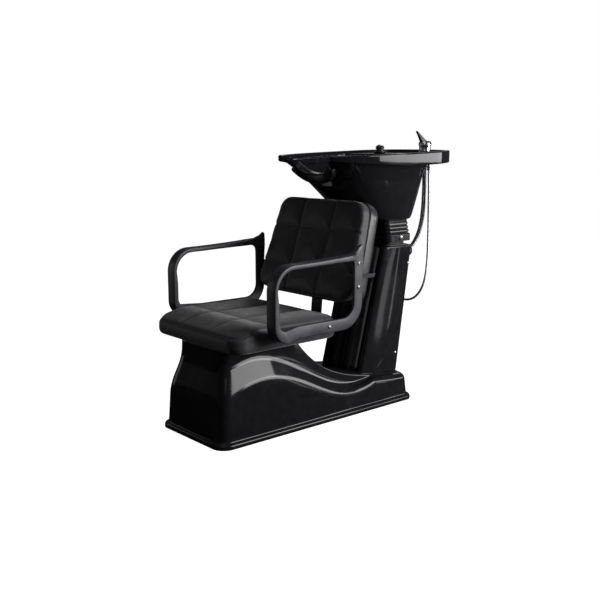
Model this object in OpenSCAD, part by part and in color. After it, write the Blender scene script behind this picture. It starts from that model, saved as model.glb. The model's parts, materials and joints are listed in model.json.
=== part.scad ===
// Salon shampoo backwash unit: a fixed chair on a moulded base, with a tilting basin on a rear column.
// +Z is up and the chair faces -Y. Lengths along Y are measured from the base's front edge and then centred.

/* [Base] */
// Width of the base flange
base_w = 376; // [340:1:420]
// Length of the base flange
base_l = 939; // [900:1:980]
// Height of the moulded flange
flange_h = 20; // [14:1:26]
// Wall thickness of the moulded shells
wall = 5; // [4:0.5:7]
// Height of the pedestal under the seat
saddle_z = 322; // [300:1:340]
// Height of the low rear deck
deck_z = 101; // [90:1:110]

/* [Seat] */
// Width of the seat cushion
seat_w = 506; // [480:1:520]
// Depth of the seat cushion
seat_d = 470; // [440:1:490]
// Thickness of the seat cushion
seat_t = 84; // [76:1:92]
// Backward slope of the seat in degrees
seat_slope = 1.6; // [0:0.1:3]

/* [Backrest] */
// Width of the backrest at its top
back_w = 472; // [450:1:490]
// Width of the backrest at its bottom, between the armrests
back_low_w = 522; // [500:1:526]
// Length of the backrest along its slope
back_len = 371; // [350:1:380]
// Backward lean of the backrest in degrees
back_lean = 18; // [12:1:20]
// Thickness of the back cushion
back_t = 44; // [30:1:50]
// How far the backrest pad stands forward of the line its brackets are set out from
back_swell = 22; // [0:1:26]
// Thickness of the backrest's rear shell
back_shell_t = 28; // [20:1:34]

/* [Armrests] */
// Distance between the inner faces of the armrests
arm_gap = 535; // [530:1:545]
// Width of the armrest band
arm_w = 45; // [35:1:50]
// Thickness of the top band
arm_t = 15; // [12:1:18]
// Height of the armrest's top run
arm_top_z = 612; // [604:1:620]

/* [Column] */
// Width of the column
column_w = 244; // [236:1:250]
// Height of the column's flat top
column_top = 600; // [590:1:604]

/* [Basin] */
// Width of the basin's rim
rim_w = 480; // [460:1:500]
// Height of the rim at its front tips
rim_front_z = 947; // [940:1:952]
// Height of the rim at its rear edge
rim_rear_z = 966; // [958:1:970]
// Radius of the drain hole in the basin
drain_r = 24; // [22:0.5:26]
// Height of the tilt pivot above the floor
pivot_z = 633; // [630:1:636]

/* [Tap and shower] */
// Sideways position of the mixer tap and of the hand shower
tap_x = 100; // [90:1:110]
// Outer radius of the mixer body
tap_r = 24; // [20:0.5:26]
// Diameter of the steel shower hose
hose_d = 10; // [8:0.5:12]
// Diameter of each supply hose
supply_d = 9; // [8:0.5:10]

/* [Hidden] */
$fn = 48;
unit_l = 1146;
mid_y = unit_l / 2;
clear = 0.3;
floor_gap = 1;

// Plan outlines of the base, each [half width, front, rear, corner radius].
flange_plan = [base_w / 2, 0, base_l, 48];
lower_plan = [base_w / 2 - 12, 12, base_l - 12, 42];
neck_plan = [base_w / 2 - 56, 54, base_l - 34, 28];

// The pedestal's rear slope and the two edges of the wave-shaped shoulder, as heights along Y.
saddle_end = 362;
slope_fall = 160;
function top_z(y) = y < saddle_end ? saddle_z
    : deck_z + (saddle_z - deck_z) * exp(-(y - saddle_end) / slope_fall);
function upper_edge(y) = min(194 + 92 * cos(180 * (y - 180) / 480), top_z(y) - 3);
function lower_edge(y) = min(148 + 56 * cos(180 * (y - 210) / 405), top_z(y) - 10);

// Column: front edge, rear edge and the seam between its two shells, as [y, z] at two heights.
column_y0 = 704;
column_y1 = 831;
column_rear0 = 919;
column_rear1 = 992;
column_foot = 110;
front_lean = atan((column_y1 - column_y0) / (column_top - column_foot));
rear_lean = atan((column_rear1 - column_rear0) / (column_top - column_foot));
channel_depth = 58;
post_x = 74;
post_lean = 11;

// Tilt pivot, drain and tap positions.
pivot_y = 918;
pin_r = 6;
pin_gap = 0.05;
drain_y = 936;
basin_floor_z = 700;
basin_wall = 7;
tap_y = 1062;
shower_x = -128;
shower_y = 1046;
arm_plate_w = 11;
arm_in = arm_gap / 2;
seat_front = 13;
seat_z = 338;
back_y = 512;
back_z = 438;

function mix(a, b, t) = a * (1 - t) + b * t;
function rim_z(y) = mix(rim_front_z, rim_rear_z, (y - 520) / (unit_l - 520));
ledge_drop = 12;
ledge_t = 8;
ledge_z = rim_z(tap_y) - ledge_drop + 1;

// Basin outlines: half of each, from the front middle round to the rear middle, as [x, y, drop below the rim].
rim_half = rim_w / 2;
rim_pts = [[0, 608, 84], [52, 605, 78], [86, 592, 48], [118, 536, 6], [146, 520, 0], [194, 584, 0],
    [228, 690, 0], [rim_half, 800, 0], [rim_half, 926, 0], [230, 1028, 0], [188, 1104, 0], [104, 1138, 0],
    [0, unit_l, 0]];
body_pts = [[0, 616, 116], [50, 614, 112], [82, 606, 96], [112, 598, 66], [138, 608, 52], [166, 646, 52],
    [184, 710, 52], [190, 790, 52], [186, 890, 52], [172, 970, 52], [140, 1022, 50], [80, 1046, 48],
    [0, 1054, 48]];
floor_pts = [[0, 800, 0], [34, 800, 0], [66, 806, 0], [90, 820, 0], [104, 840, 0], [112, 864, 0],
    [116, 890, 0], [117, 916, 0], [115, 942, 0], [108, 968, 0], [90, 992, 0], [52, 1004, 0], [0, 1008, 0]];
HALF = len(rim_pts);
SMOOTH = 3;

// Shower hose: from the mixer's outlet, down behind the column and up to the hand shower's handle.
shower_route = [[124, 1062, 886], [124, 1062, 860], [124, 1064, 830], [124, 1065, 790], [124, 1066, 750],
    [124, 1067, 705], [124, 1068, 660], [123, 1069, 610], [122, 1070, 560], [118, 1071, 510], [110, 1073, 464],
    [96, 1075, 424], [74, 1077, 390], [46, 1078, 366], [14, 1078, 354], [-20, 1077, 354], [-54, 1075, 366],
    [-83, 1072, 390], [-105, 1069, 424], [-119, 1065, 464], [-125, 1061, 510], [-128, 1057, 560],
    [-128, 1053, 610], [-128, 1050, 660], [-128, 1048, 710], [-128, 1046, 760], [-128, 1046, 800]];
// Supply hoses: from the mixer's shank down into the grommet high on the column's rear corner.
supply_route = [[0, 1064, 896], [0, 1064, 870], [0, 1064, 840], [0, 1064, 810], [0, 1063, 780],
    [0, 1062, 750], [-1, 1060, 720], [-2, 1057, 692], [-4, 1052, 665], [-6, 1044, 640], [-8, 1033, 619],
    [-9, 1018, 600], [-10, 1002, 585], [-10, 988, 574], [-10, 976, 566]];
supply_xs = [94.5, 105.5];

// ---- Shared shapes ----

module from_front() {
    translate([0, -mid_y, 0]) children();
}

module both_sides() {
    children();
    mirror([1, 0, 0]) children();
}

module rounded_rect(w, l, r) {
    square([w - 2 * r, l], center = true);
    square([w, l - 2 * r], center = true);
    for (sx = [-1, 1], sy = [-1, 1])
        translate([sx * (w / 2 - r), sy * (l / 2 - r)]) circle(r);
}

module slab(w, l, r, h) {
    linear_extrude(h) rounded_rect(w, l, r);
}

module along_x(x0, x1) {
    translate([x0, 0, 0]) rotate([90, 0, 90]) linear_extrude(x1 - x0) children();
}

module tube(r_out, r_in, h) {
    difference() {
        cylinder(r = r_out, h = h);
        translate([0, 0, -1]) cylinder(r = r_in, h = h + 2);
    }
}

function arc(c, r, a0, a1, n = 8) = [for (i = [0:n]) let (a = a0 + (a1 - a0) * i / n)
    c + r * [cos(a), sin(a)]];
function mirrored(half) = concat(half, [for (i = [len(half) - 2:-1:1]) [-half[i][0], half[i][1], half[i][2]]]);

// A plan outline from the front middle round the +X side and back, with extra points along the sides.
SIDE_STEPS = 18;
function half_plan(p, inset) = let (w = p[0] - inset, f = p[1] + inset, b = p[2] - inset, r = max(p[3] - inset, 6))
    concat([[0, f, 0]], [for (q = arc([w - r, f + r], r, -90, 0, 6)) [q[0], q[1], 0]],
        [for (i = [1:SIDE_STEPS - 1]) [w, mix(f + r, b - r, i / SIDE_STEPS), 0]],
        [for (q = arc([w - r, b - r], r, 0, 90, 6)) [q[0], q[1], 0]], [[0, b, 0]]);
function flat_ring(p, inset, z) = [for (q = mirrored(half_plan(p, inset))) [q[0], q[1], z]];

// Faces between rings with equal point counts.
function wall_faces(n, a, b) = [for (i = [0:n - 1]) let (j = (i + 1) % n)
    each [[a * n + i, b * n + i, b * n + j], [a * n + i, b * n + j, a * n + j]]];
// Faces across a ring that is symmetric in X: fans at its two middle points, and strips between them.
function cap_faces(n, a, up) = let (h = n / 2, down = concat(
    [[0, 1, 2], [0, 2, n - 2], [0, n - 2, n - 1]],
    [for (i = [2:h - 3]) each [[i, i + 1, n - i], [i + 1, n - i - 1, n - i]]],
    [[h - 2, h - 1, h], [h - 2, h, h + 2], [h, h + 1, h + 2]]))
    [for (f = down) [for (k = up ? [2:-1:0] : [0:2]) a * n + f[k]]];

module skin(rings, caps) {
    n = len(rings[0]);
    m = len(rings);
    joined = [for (k = [0:m - 2]) if (k != caps) each wall_faces(n, k, k + 1)];
    ends = caps >= 0 ? concat(cap_faces(n, caps, true), cap_faces(n, caps + 1, false)) : [];
    polyhedron(points = [for (r = rings) each r], faces = concat(joined, ends, wall_faces(n, m - 1, 0)),
        convexity = 10);
}

// A closed smooth curve through points, with SMOOTH pieces between each two.
function spline_at(a, b, c, d, t) = 0.5 * ((2 * b) + (c - a) * t + (2 * a - 5 * b + 4 * c - d) * t * t
    + (3 * b - a - 3 * c + d) * t * t * t);
function smooth_ring(pts) = let (n = len(pts)) [for (i = [0:n - 1], k = [0:SMOOTH - 1])
    spline_at(pts[(i + n - 1) % n], pts[i], pts[(i + 1) % n], pts[(i + 2) % n], k / SMOOTH)];

// A round tube swept along a route, held level by a fixed side direction.
function unit(v) = v / norm(v);
function route_dir(p, i) = unit(p[min(i + 1, len(p) - 1)] - p[max(i - 1, 0)]);
module sweep(p, r, sides, up) {
    rings = [for (i = [0:len(p) - 1]) let (d = route_dir(p, i), u = unit(up - d * (up * d)), v = cross(d, u))
        [for (k = [0:sides - 1]) p[i] + r * (u * cos(360 * k / sides) + v * sin(360 * k / sides))]];
    m = len(p);
    polyhedron(points = [for (g = rings) each g], faces = concat(
        [for (k = [0:m - 2]) each wall_faces(sides, k, k + 1)],
        [[for (k = [0:sides - 1]) k]], [[for (k = [sides - 1:-1:0]) (m - 1) * sides + k]]), convexity = 6);
}

module hex(across, h) {
    cylinder(d = across / cos(30), h = h, $fn = 6);
}

// A low domed screw head of radius r and height h.
module screw_dome(r, h) {
    ball = (r * r + h * h) / (2 * h);
    rotate_extrude($fn = 24) intersection() {
        translate([0, h - ball]) circle(ball);
        square([r, h]);
    }
}

// ---- Base ----

function edge_ring(p, inset, f) = [for (q = mirrored(half_plan(p, inset))) [q[0], q[1], f[0] == 0
    ? top_z(q[1]) - f[1] : f[0] == 1 ? upper_edge(q[1]) - f[1] : lower_edge(q[1]) - f[1]]];

module base_shell() {
    color("#0b0b0d") from_front() difference() {
        skin([flat_ring(flange_plan, 0, floor_gap), flat_ring(flange_plan, 0, flange_h - 8),
            flat_ring(flange_plan, 4, flange_h - 2), flat_ring(lower_plan, 0, flange_h),
            edge_ring(lower_plan, 7, [2, 6]), edge_ring(lower_plan, 11, [2, 0]),
            edge_ring(neck_plan, -3, [1, 2]), edge_ring(neck_plan, 0, [0, 2]), edge_ring(neck_plan, 6, [0, 0]),
            edge_ring(neck_plan, wall + 4, [0, wall]), edge_ring(neck_plan, wall, [0, wall + 4]),
            edge_ring(neck_plan, wall, [1, wall + 2]), edge_ring(lower_plan, wall + 11, [2, wall + 2]),
            flat_ring(lower_plan, wall, flange_h), flat_ring(lower_plan, wall, floor_gap)], 8);
        translate([0, pedestal_y, saddle_z - 20]) cylinder(r = 62, h = 40);
        translate([0, pedestal_y + 40, saddle_z - 20]) for (sx = [-1, 1], sy = [-1, 1])
            translate([sx * bolt_dx, sy * bolt_dy, 0]) cylinder(r = 10, h = 40);
        translate([0, 842, deck_z - 30]) cylinder(r = 100, h = 70);
    }
}

frame_tube = 30;
frame_x = 120;
frame_y0 = 90;
frame_y1 = 830;
pad_h = 4;
anchor_r = 6.5;
anchor_y = [70, 850];

module base_frame() {
    color("#55585c") from_front() {
        both_sides() {
            translate([frame_x - frame_tube / 2, frame_y0, pad_h])
                cube([frame_tube, frame_y1 - frame_y0, frame_tube]);
            for (y = anchor_y) difference() {
                translate([frame_x - 28, y - 26, pad_h]) cube([56, 52, 6]);
                translate([frame_x, y, -1]) cylinder(r = anchor_r, h = 20);
            }
        }
        for (y = [110, 230, 740, 822])
            translate([-frame_x + frame_tube / 2, y - frame_tube / 2, pad_h])
                cube([2 * frame_x - frame_tube, frame_tube, frame_tube]);
    }
}

module floor_pads() {
    color("#151515") from_front() both_sides() for (y = [115, 290, 460, 630, 800])
        translate([frame_x, y, 0]) cylinder(r = 18, h = pad_h);
}

pedestal_y = 170;
module seat_pedestal() {
    color("#55585c") from_front() translate([0, pedestal_y, pad_h + frame_tube]) {
        difference() {
            translate([-80, -75, 0]) cube([160, 150, 8]);
            for (sx = [-1, 1], sy = [-1, 1]) translate([sx * 62, sy * 60, -1]) cylinder(r = 5.5, h = 10);
        }
        translate([0, 0, 8]) tube(45, 40, saddle_z - pad_h - frame_tube - 8);
    }
}

plate_t = 8;
bolt_dx = 85;
bolt_dy = 85;
module seat_mount_plate() {
    color("#3a3c40") from_front() translate([0, pedestal_y + 40, saddle_z]) difference() {
        slab(220, 230, 14, plate_t);
        for (sx = [-1, 1], sy = [-1, 1]) translate([sx * bolt_dx, sy * bolt_dy, -1]) cylinder(r = 4.4, h = 20);
    }
}

module seat_bolts() {
    color("silver") from_front() translate([0, pedestal_y + 40, saddle_z])
        for (sx = [-1, 1], sy = [-1, 1]) translate([sx * bolt_dx, sy * bolt_dy, 0]) {
            translate([0, 0, -5.5]) hex(13, 5.5);
            cylinder(r = 4, h = plate_t + 6);
        }
}

// ---- Chair ----

module seat_pan() {
    color("#2b2622") from_front() translate([0, seat_front + seat_d / 2, saddle_z + plate_t]) difference() {
        slab(seat_w - 30, seat_d - 30, 50, seat_z - saddle_z - plate_t + 4);
        for (sx = [-1, 1], sy = [-1, 1])
            translate([sx * bolt_dx, pedestal_y + 40 - seat_front - seat_d / 2 + sy * bolt_dy, -1])
                cylinder(r = 4.4, h = 40);
    }
}

module seat_cushion() {
    color("#1b1b1d") from_front() difference() {
        translate([0, seat_front, seat_z]) rotate([-seat_slope, 0, 0]) translate([0, seat_d / 2, 0]) {
            translate([0, 0, 14]) slab(seat_w, seat_d, 62, seat_t - 28);
            slab(seat_w - 24, seat_d - 24, 54, seat_t - 8);
            slab(seat_w - 64, seat_d - 64, 46, seat_t);
        }
        translate([0, seat_front + seat_d / 2, saddle_z + plate_t - 10])
            slab(seat_w - 29, seat_d - 29, 50.5, seat_z + 4 - saddle_z - plate_t + 10 + clear);
        translate([0, 400, saddle_z - 20]) translate([-300, -200, 0]) cube([600, 600, 20 + 1 + bar_t + clear]);
    }
}

back_depth = back_t + back_shell_t + 2 * clear;
module on_back() {
    from_front() translate([0, back_y, back_z]) rotate([-back_lean, 0, 0]) children();
}

// A panel that is wider at its foot, pulled in all round by inset, from depth y0 to y1.
module back_panel(inset, y0, y1) {
    r = 58 - inset;
    translate([0, y1, 0]) rotate([90, 0, 0]) linear_extrude(y1 - y0) hull() for (sx = [-1, 1]) {
        translate([sx * (back_low_w / 2 - inset - r), inset + r]) circle(r, $fn = 32);
        translate([sx * (back_w / 2 - inset - r), back_len - inset - r]) circle(r, $fn = 32);
    }
}

module back_cushion() {
    color("#1b1b1d") on_back() {
        back_panel(0, 12 - back_swell, back_t);
        back_panel(12, 3 - back_swell, back_t - 2);
        back_panel(26, -back_swell, back_t - 4);
    }
}

module back_shell() {
    color("#26262a") on_back() translate([0, back_t + clear, 0]) difference() {
        union() {
            back_panel(1, 0, back_shell_t - 14);
            back_panel(14, 4, back_shell_t);
        }
        back_panel(30, -5, back_shell_t - 3);
    }
}

bar_w = 56;
bar_t = 6;
function back_rear(z) = back_y + back_depth / cos(back_lean) + (z - back_z) * tan(back_lean);
module back_support() {
    color("#1c1c1f") from_front() along_x(-bar_w / 2, bar_w / 2) polygon([[332, saddle_z + 1],
        [522, saddle_z + 1], [584, saddle_z + 36], [back_rear(425) + bar_t, 425],
        [back_rear(560) + bar_t, 560], [back_rear(560), 560], [back_rear(425), 425], [579, saddle_z + 40],
        [519, saddle_z + 1 + bar_t], [332, saddle_z + 1 + bar_t]]);
}

// Armrest: one moulding, a flat loop seen from the side as [y, z]. The front and the top are a wide flat
// band, and the lower rail and the rear strut are a plate with a pointed fin at the top.
arm_front = 127;
arm_outer = concat(arc([arm_front + 60, 420], 60, 270, 180), arc([arm_front + 84, arm_top_z - 84], 84, 180, 90),
    [[480, arm_top_z + 9]], [[506, arm_top_z + 15], [528, arm_top_z + 26], [543, arm_top_z + 37],
    [549, arm_top_z + 34], [552, 600], [548, 540]], arc([457, 450], 91, 0, -90, 10));
arm_inner = concat(arc([arm_front + 46, 429], 27, 270, 180, 6), arc([arm_front + 84, arm_top_z - 84],
    84 - arm_t, 180, 90), arc([488, arm_top_z - arm_t - 16], 20, 90, 0, 5), arc([458, 450], 50, 0, -90, 8));
arm_screws = [[225, 381], [392, 381], [528, 503], [528, 586]];

module armrest() {
    difference() {
        along_x(arm_in, arm_in + arm_w) polygon(arm_outer);
        along_x(arm_in - 1, arm_in + arm_w + 1) polygon(arm_inner);
        along_x(arm_in + arm_plate_w, arm_in + arm_w + 1) polygon([[arm_front + 56, 340], [arm_front + 56, 404],
            [440, 404], [510, 470], [508, arm_top_z - arm_t - 2], [488, arm_top_z + 40], [620, arm_top_z + 60],
            [620, 340]]);
        for (s = arm_screws) translate([0, s[0], s[1]]) rotate([0, 90, 0]) cylinder(r = 4.2, h = 500);
    }
}

module left_armrest() {
    color("#1f1f22") from_front() armrest();
}

module right_armrest() {
    color("#1f1f22") from_front() mirror([1, 0, 0]) armrest();
}

// Inner end of each armrest spacer: against the seat's side, or against the backrest's side bracket.
bracket_x = 264.6;
side_plate_t = 3;
fixing_x = [seat_w / 2 + clear, seat_w / 2 + clear, bracket_x, bracket_x];

// Bent steel brackets from behind the backrest, forward along its sides to the armrests' rear struts.
module back_brackets() {
    color("#3a3c40") difference() {
        on_back() both_sides() {
            along_x(bracket_x - side_plate_t, bracket_x) polygon([[-16, 52], [8, 56], [0, 92],
                [back_depth + side_plate_t, 118], [back_depth + side_plate_t, 132], [-9, 106], [-21, 160],
                [-43, 152], [-30, 100]]);
            translate([210, back_depth, 118]) cube([bracket_x - side_plate_t - 210, side_plate_t, 14]);
        }
        from_front() for (i = [2, 3]) translate([-300, arm_screws[i][0], arm_screws[i][1]])
            rotate([0, 90, 0]) cylinder(r = 4.2, h = 600);
    }
}

module armrest_spacers() {
    color("#3a3c40") from_front() both_sides() for (i = [0:3])
        translate([fixing_x[i], arm_screws[i][0], arm_screws[i][1]]) rotate([0, 90, 0])
            tube(10, 4.2, arm_in - fixing_x[i]);
}

function screw_end(i) = fixing_x[i] - (i < 2 ? 0 : side_plate_t);
module armrest_screws() {
    color("silver") from_front() both_sides() for (i = [0:3])
        translate([arm_in + arm_plate_w, arm_screws[i][0], arm_screws[i][1]]) rotate([0, 90, 0]) {
            translate([0, 0, screw_end(i) - arm_in - arm_plate_w])
                cylinder(r = 4, h = arm_in + arm_plate_w - screw_end(i));
            difference() {
                screw_dome(7.5, 4);
                translate([0, 0, 2]) hex(5, 5);
            }
        }
}

// ---- Column ----

seam_pts = [[932, column_top], [928, 540], [922, 470], [912, 400], [895, 320], [866, 240], [828, 175],
    [786, 131]];
function foot_line(y0, y1) = [for (i = [0:6]) let (y = mix(y0, y1, i / 6)) [y, top_z(y) + clear]];

module leaning(lean, y, z) {
    translate([0, y, z]) rotate([-lean, 0, 0]) translate([0, 0, -120]) linear_extrude(760) children();
}

// Plan of the column's front shell: two side wings round a deep front channel.
module wing_plan(t) {
    w = column_w / 2 - t;
    polygon([[w, t], [w, 320], [-w, 320], [-w, t], [-w + 16 - 2 * t, t], [-w + 34 - 2 * t, 22 + t],
        [-52 - t, channel_depth * 0.55 + t], [-48 - t, channel_depth + t], [48 + t, channel_depth + t],
        [52 + t, channel_depth * 0.55 + t], [w - 34 + 2 * t, 22 + t], [w - 16 + 2 * t, t]]);
}

module column_side() {
    polygon(concat([[column_y0 - 60, top_z(column_y0 - 60) + clear]], foot_line(column_y0, 786),
        [for (i = [len(seam_pts) - 1:-1:0]) seam_pts[i]], [[column_y0 - 60, column_top]]));
}

module column_shell() {
    color("#0b0b0d") from_front() difference() {
        intersection() {
            leaning(front_lean, column_y0, column_foot) wing_plan(0);
            along_x(-200, 200) column_side();
        }
        difference() {
            leaning(front_lean, column_y0, column_foot) wing_plan(4);
            translate([-300, 500, column_top - 4]) cube([600, 600, 100]);
        }
        translate([0, pivot_y, column_top - 20]) slab(190, 92, 20, 60);
    }
}

module cover_plan(t) {
    w = column_w / 2 - t;
    translate([0, -160 - t]) rounded_rect(2 * w, 320, 30 - t);
}

module column_cover() {
    color("#0b0b0d") from_front() difference() {
        intersection() {
            leaning(rear_lean, column_rear0, column_foot) cover_plan(0);
            along_x(-200, 200) polygon(concat([for (s = seam_pts) [s[0] + clear, s[1]]],
                foot_line(786, 960), [[1040, top_z(960)], [1040, column_top]]));
        }
        difference() {
            leaning(rear_lean, column_rear0, column_foot) cover_plan(4);
            translate([-300, 500, column_top - 4]) cube([600, 600, 100]);
        }
        translate([0, pivot_y, column_top - 20]) slab(190, 92, 20, 60);
        at_grommet() translate([0, 0, -40]) cylinder(r = 16.8, h = 80);
    }
}

cover_screw_at = [[892, 180], [956, 530]];
module cover_screws() {
    color("silver") from_front() both_sides() for (s = cover_screw_at)
        translate([column_w / 2, s[0], s[1]]) rotate([0, 90, 0]) screw_dome(6, 2.5);
}

head_z = column_top - 12;
module column_posts() {
    color("#55585c") from_front() {
        both_sides() translate([post_x, 836, pad_h + frame_tube]) intersection() {
            rotate([-post_lean, 0, 0]) translate([-12.5, -12.5, -40]) cube([25, 25, 700]);
            translate([-50, -200, 0]) cube([100, 500, head_z - pad_h - frame_tube]);
        }
        difference() {
            translate([-94, 880, head_z]) cube([188, 88, 6]);
            translate([0, drain_y, column_top - 20]) cylinder(r = 30, h = 40);
        }
    }
}

grommet_at = [90, 988, 573];
module at_grommet() {
    translate(grommet_at) rotate([-90 - rear_lean, 0, 0]) children();
}

module hose_grommet() {
    color("#101010") from_front() at_grommet() rotate_extrude() {
        translate([16.2, 3.4]) circle(3, $fn = 24);
        translate([13.2, -8]) square([3.4, 11]);
    }
}

// ---- Tilting neck ----

boot_w = 194;
boot_l = 104;
module neck_boot() {
    color("#141416") from_front() translate([0, pivot_y, column_top]) difference() {
        union() {
            slab(boot_w + 12, boot_l + 12, 22, 3);
            for (i = [0:2]) {
                translate([0, 0, 3 + i * 7.5]) slab(boot_w - 6, boot_l - 6, 20, 7.5);
                translate([0, 0, 5 + i * 7.5]) slab(boot_w, boot_l, 22, 3.5);
            }
        }
        translate([0, 0, -1]) slab(boot_w - 16, boot_l - 16, 18, 60);
    }
}

bracket_t = 6;
module pivot_bracket() {
    color("#3a3c40") from_front() both_sides() translate([post_x - bracket_t / 2, pivot_y, head_z + 6])
        difference() {
            union() {
                translate([-20, -30, 0]) cube([20 + bracket_t, 60, 5]);
                translate([0, -20, 0]) cube([bracket_t, 40, pivot_z - head_z - 6]);
                translate([0, 0, pivot_z - head_z - 6]) rotate([0, 90, 0]) cylinder(r = 20, h = bracket_t);
            }
            translate([-30, 0, pivot_z - head_z - 6]) rotate([0, 90, 0]) cylinder(r = pin_r + pin_gap, h = 60);
        }
}

collar_w = 226;
collar_l = 140;
module pivot_bolts() {
    color("silver") from_front() both_sides() translate([0, pivot_y, pivot_z]) rotate([0, 90, 0]) {
        translate([0, 0, post_x - 12]) cylinder(r = pin_r, h = collar_w / 2 + 3 - post_x + 12);
        translate([0, 0, collar_w / 2 + 0.4]) screw_dome(12, 8);
        translate([0, 0, post_x - 11]) hex(18, 7);
    }
}

// Rings of the collar, each [half width, half length, height].
collar_rings = [[collar_w / 2, collar_l / 2, 617], [collar_w / 2, collar_l / 2, 646], [collar_w / 2 - 4,
    collar_l / 2 - 3, 650], [collar_w / 2 - 14, collar_l / 2 - 4, basin_floor_z - 1]];
function collar_ring(c, t) = flat_ring([c[0], -c[1], c[1], 26], t, c[2]);

module basin_collar() {
    color("#141416") from_front() difference() {
        translate([0, pivot_y, 0]) skin(concat([for (c = collar_rings) collar_ring(c, 0)],
            [for (i = [3:-1:0]) collar_ring(collar_rings[i], 4)]), -1);
        translate([-300, pivot_y, pivot_z]) rotate([0, 90, 0]) cylinder(r = pin_r + pin_gap, h = 600);
    }
}

basin_ear_x = 79;
module basin_bracket() {
    color("#3a3c40") from_front() translate([0, pivot_y, 0]) difference() {
        union() {
            translate([0, 3, basin_floor_z - 7]) slab(182, 108, 20, 6);
            both_sides() translate([basin_ear_x, 0, 0]) {
                translate([0, -20, pivot_z]) cube([bracket_t, 40, basin_floor_z - 4 - pivot_z]);
                translate([0, 0, pivot_z]) rotate([0, 90, 0]) cylinder(r = 20, h = bracket_t);
            }
        }
        translate([-300, 0, pivot_z]) rotate([0, 90, 0]) cylinder(r = pin_r + pin_gap, h = 600);
        translate([0, drain_y - pivot_y, basin_floor_z - 20]) cylinder(r = 34, h = 40);
    }
}

// ---- Basin ----

// Between the body's top outline and its floor, at a share of the depth.
function body_ring(t, spread, shift) = let (top = [for (p = body_pts) [p[0] * (1 - shift / 190), p[1] + (850 - p[1])
    * shift / 300, rim_z(p[1]) - p[2]]], low = [for (p = floor_pts) [p[0] * (1 - shift / 190), p[1] + (910 - p[1])
    * shift / 110, basin_floor_z + (shift > 0 ? basin_wall : 0)]]) smooth_ring(mirrored(
    [for (i = [0:HALF - 1]) [mix(low[i][0], top[i][0], spread), mix(low[i][1], top[i][1], spread),
        mix(low[i][2], top[i][2], t)]]));
function rim_band(y) = mix(24, 48, min(1, max(0, (y - 520) / 320)));
function rim_ring(inset, drop) = smooth_ring(mirrored([for (p = rim_pts) let (c = [0, 830, 0], d = norm([p[0], p[1]
    - 830])) [p[0] * (1 - inset / d), 830 + (p[1] - 830) * (1 - inset / d), rim_z(p[1]) - p[2]
    - (drop < 0 ? rim_band(p[1]) * (p[2] > 30 ? 0.4 : 1) + drop + 5 : drop)]]));
function drain_ring(z) = smooth_ring(mirrored([for (i = [0:HALF - 1]) let (a = -90 + 180 * i / (HALF - 1))
    [drain_r * cos(a), drain_y + drain_r * sin(a), z]]));
// The inner edge of the ledge: the rim outline pulled in, and further at the rear to leave the tap ledge.
mouth_half = [for (i = [0:HALF - 1]) let (p = rim_pts[i], rear = max(0, (p[1] - 930) / (unit_l - 930)))
    [p[0] * (1 - 16 / max(p[0], 60)) * (1 - 0.24 * rear), i < 4 ? p[1] + 8 : i < 6 ? p[1] + 16
        : p[1] - 124 * rear, p[2]]];
function mouth_ring(drop) = smooth_ring(mirrored([for (p = mouth_half)
    [p[0], p[1], rim_z(p[1]) - p[2] - drop]]));

// The hollow under the rim: beside the body, then beside the band. In the neck notch there is none.
function under_body_ring() = smooth_ring(mirrored([for (p = body_pts)
    [p[0] * 1.012, p[1] + (p[1] > 850 ? 2 : 0), rim_z(p[1]) - (p[2] > 60 ? p[2] - 2 : ledge_drop + ledge_t)]]));
function under_band_ring(drop) = smooth_ring(mirrored([for (i = [0:HALF - 1]) let (p = rim_pts[i], c = 830,
    d = norm([p[0], p[1] - c]), k = 1 - (i < 4 ? 5 : 11) / d) [p[0] * k, c + (p[1] - c) * k, rim_z(p[1])
    - (i < 4 ? p[2] + rim_band(p[1]) * 0.4 - 6 : drop > 0 ? drop : rim_band(p[1]) - 9)]]));

module basin() {
    color("#0b0b0d") from_front() difference() {
        skin([drain_ring(basin_floor_z), body_ring(0, 0, 0), body_ring(0.06, 0.12, 0), body_ring(0.3, 0.36, 0),
            body_ring(0.65, 0.68, 0), body_ring(1, 1, 0), under_body_ring(),
            under_band_ring(ledge_drop + ledge_t), rim_ring(7, -5), rim_ring(0, -9), rim_ring(0, 3),
            rim_ring(3, 0), rim_ring(12, 1), rim_ring(17, ledge_drop), mouth_ring(ledge_drop), mouth_ring(22),
            body_ring(0.66, 0.7, basin_wall), body_ring(0.32, 0.4, basin_wall),
            body_ring(0.08, 0.16, basin_wall), body_ring(0, 0, basin_wall + 4),
            drain_ring(basin_floor_z + basin_wall - 3)], -1);
        translate([tap_x, tap_y, 800]) cylinder(r = shank_r + 1.5, h = 300);
        translate([shower_x, shower_y, 800]) cylinder(r = 19, h = 300);
    }
}

rest_r = 18;
notch_path = [[-98, 578, 910], [-90, 590, 896], [-74, 600, 882], [-52, 607, 871], [-26, 610, 866], [0, 611, 864],
    [26, 610, 866], [52, 607, 871], [74, 600, 882], [90, 590, 896], [98, 578, 910]];
module neck_rest() {
    color("#161616") from_front() translate([0, -rest_r, 0]) sweep(notch_path, rest_r, 16, [0, 1, 0.2]);
}

module drain_flange() {
    color("silver") from_front() translate([0, drain_y, basin_floor_z]) difference() {
        union() {
            translate([0, 0, -26]) cylinder(r = drain_r - 1, h = 30);
            translate([0, 0, basin_wall + 4]) cylinder(r = 33, h = 2.5);
            translate([0, 0, 0]) cylinder(r = drain_r - 1, h = basin_wall + 5);
        }
        translate([0, 0, -30]) cylinder(r = 20, h = 60);
    }
}

module drain_nut() {
    color("#202022") from_front() translate([0, drain_y, basin_floor_z - 22]) difference() {
        hex(58, 12);
        translate([0, 0, -1]) cylinder(r = drain_r - 0.9, h = 20);
    }
}

module drain_tailpiece() {
    color("#202022") from_front() translate([0, drain_y, basin_floor_z - 112]) tube(19.8, 17, 100);
}

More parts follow.
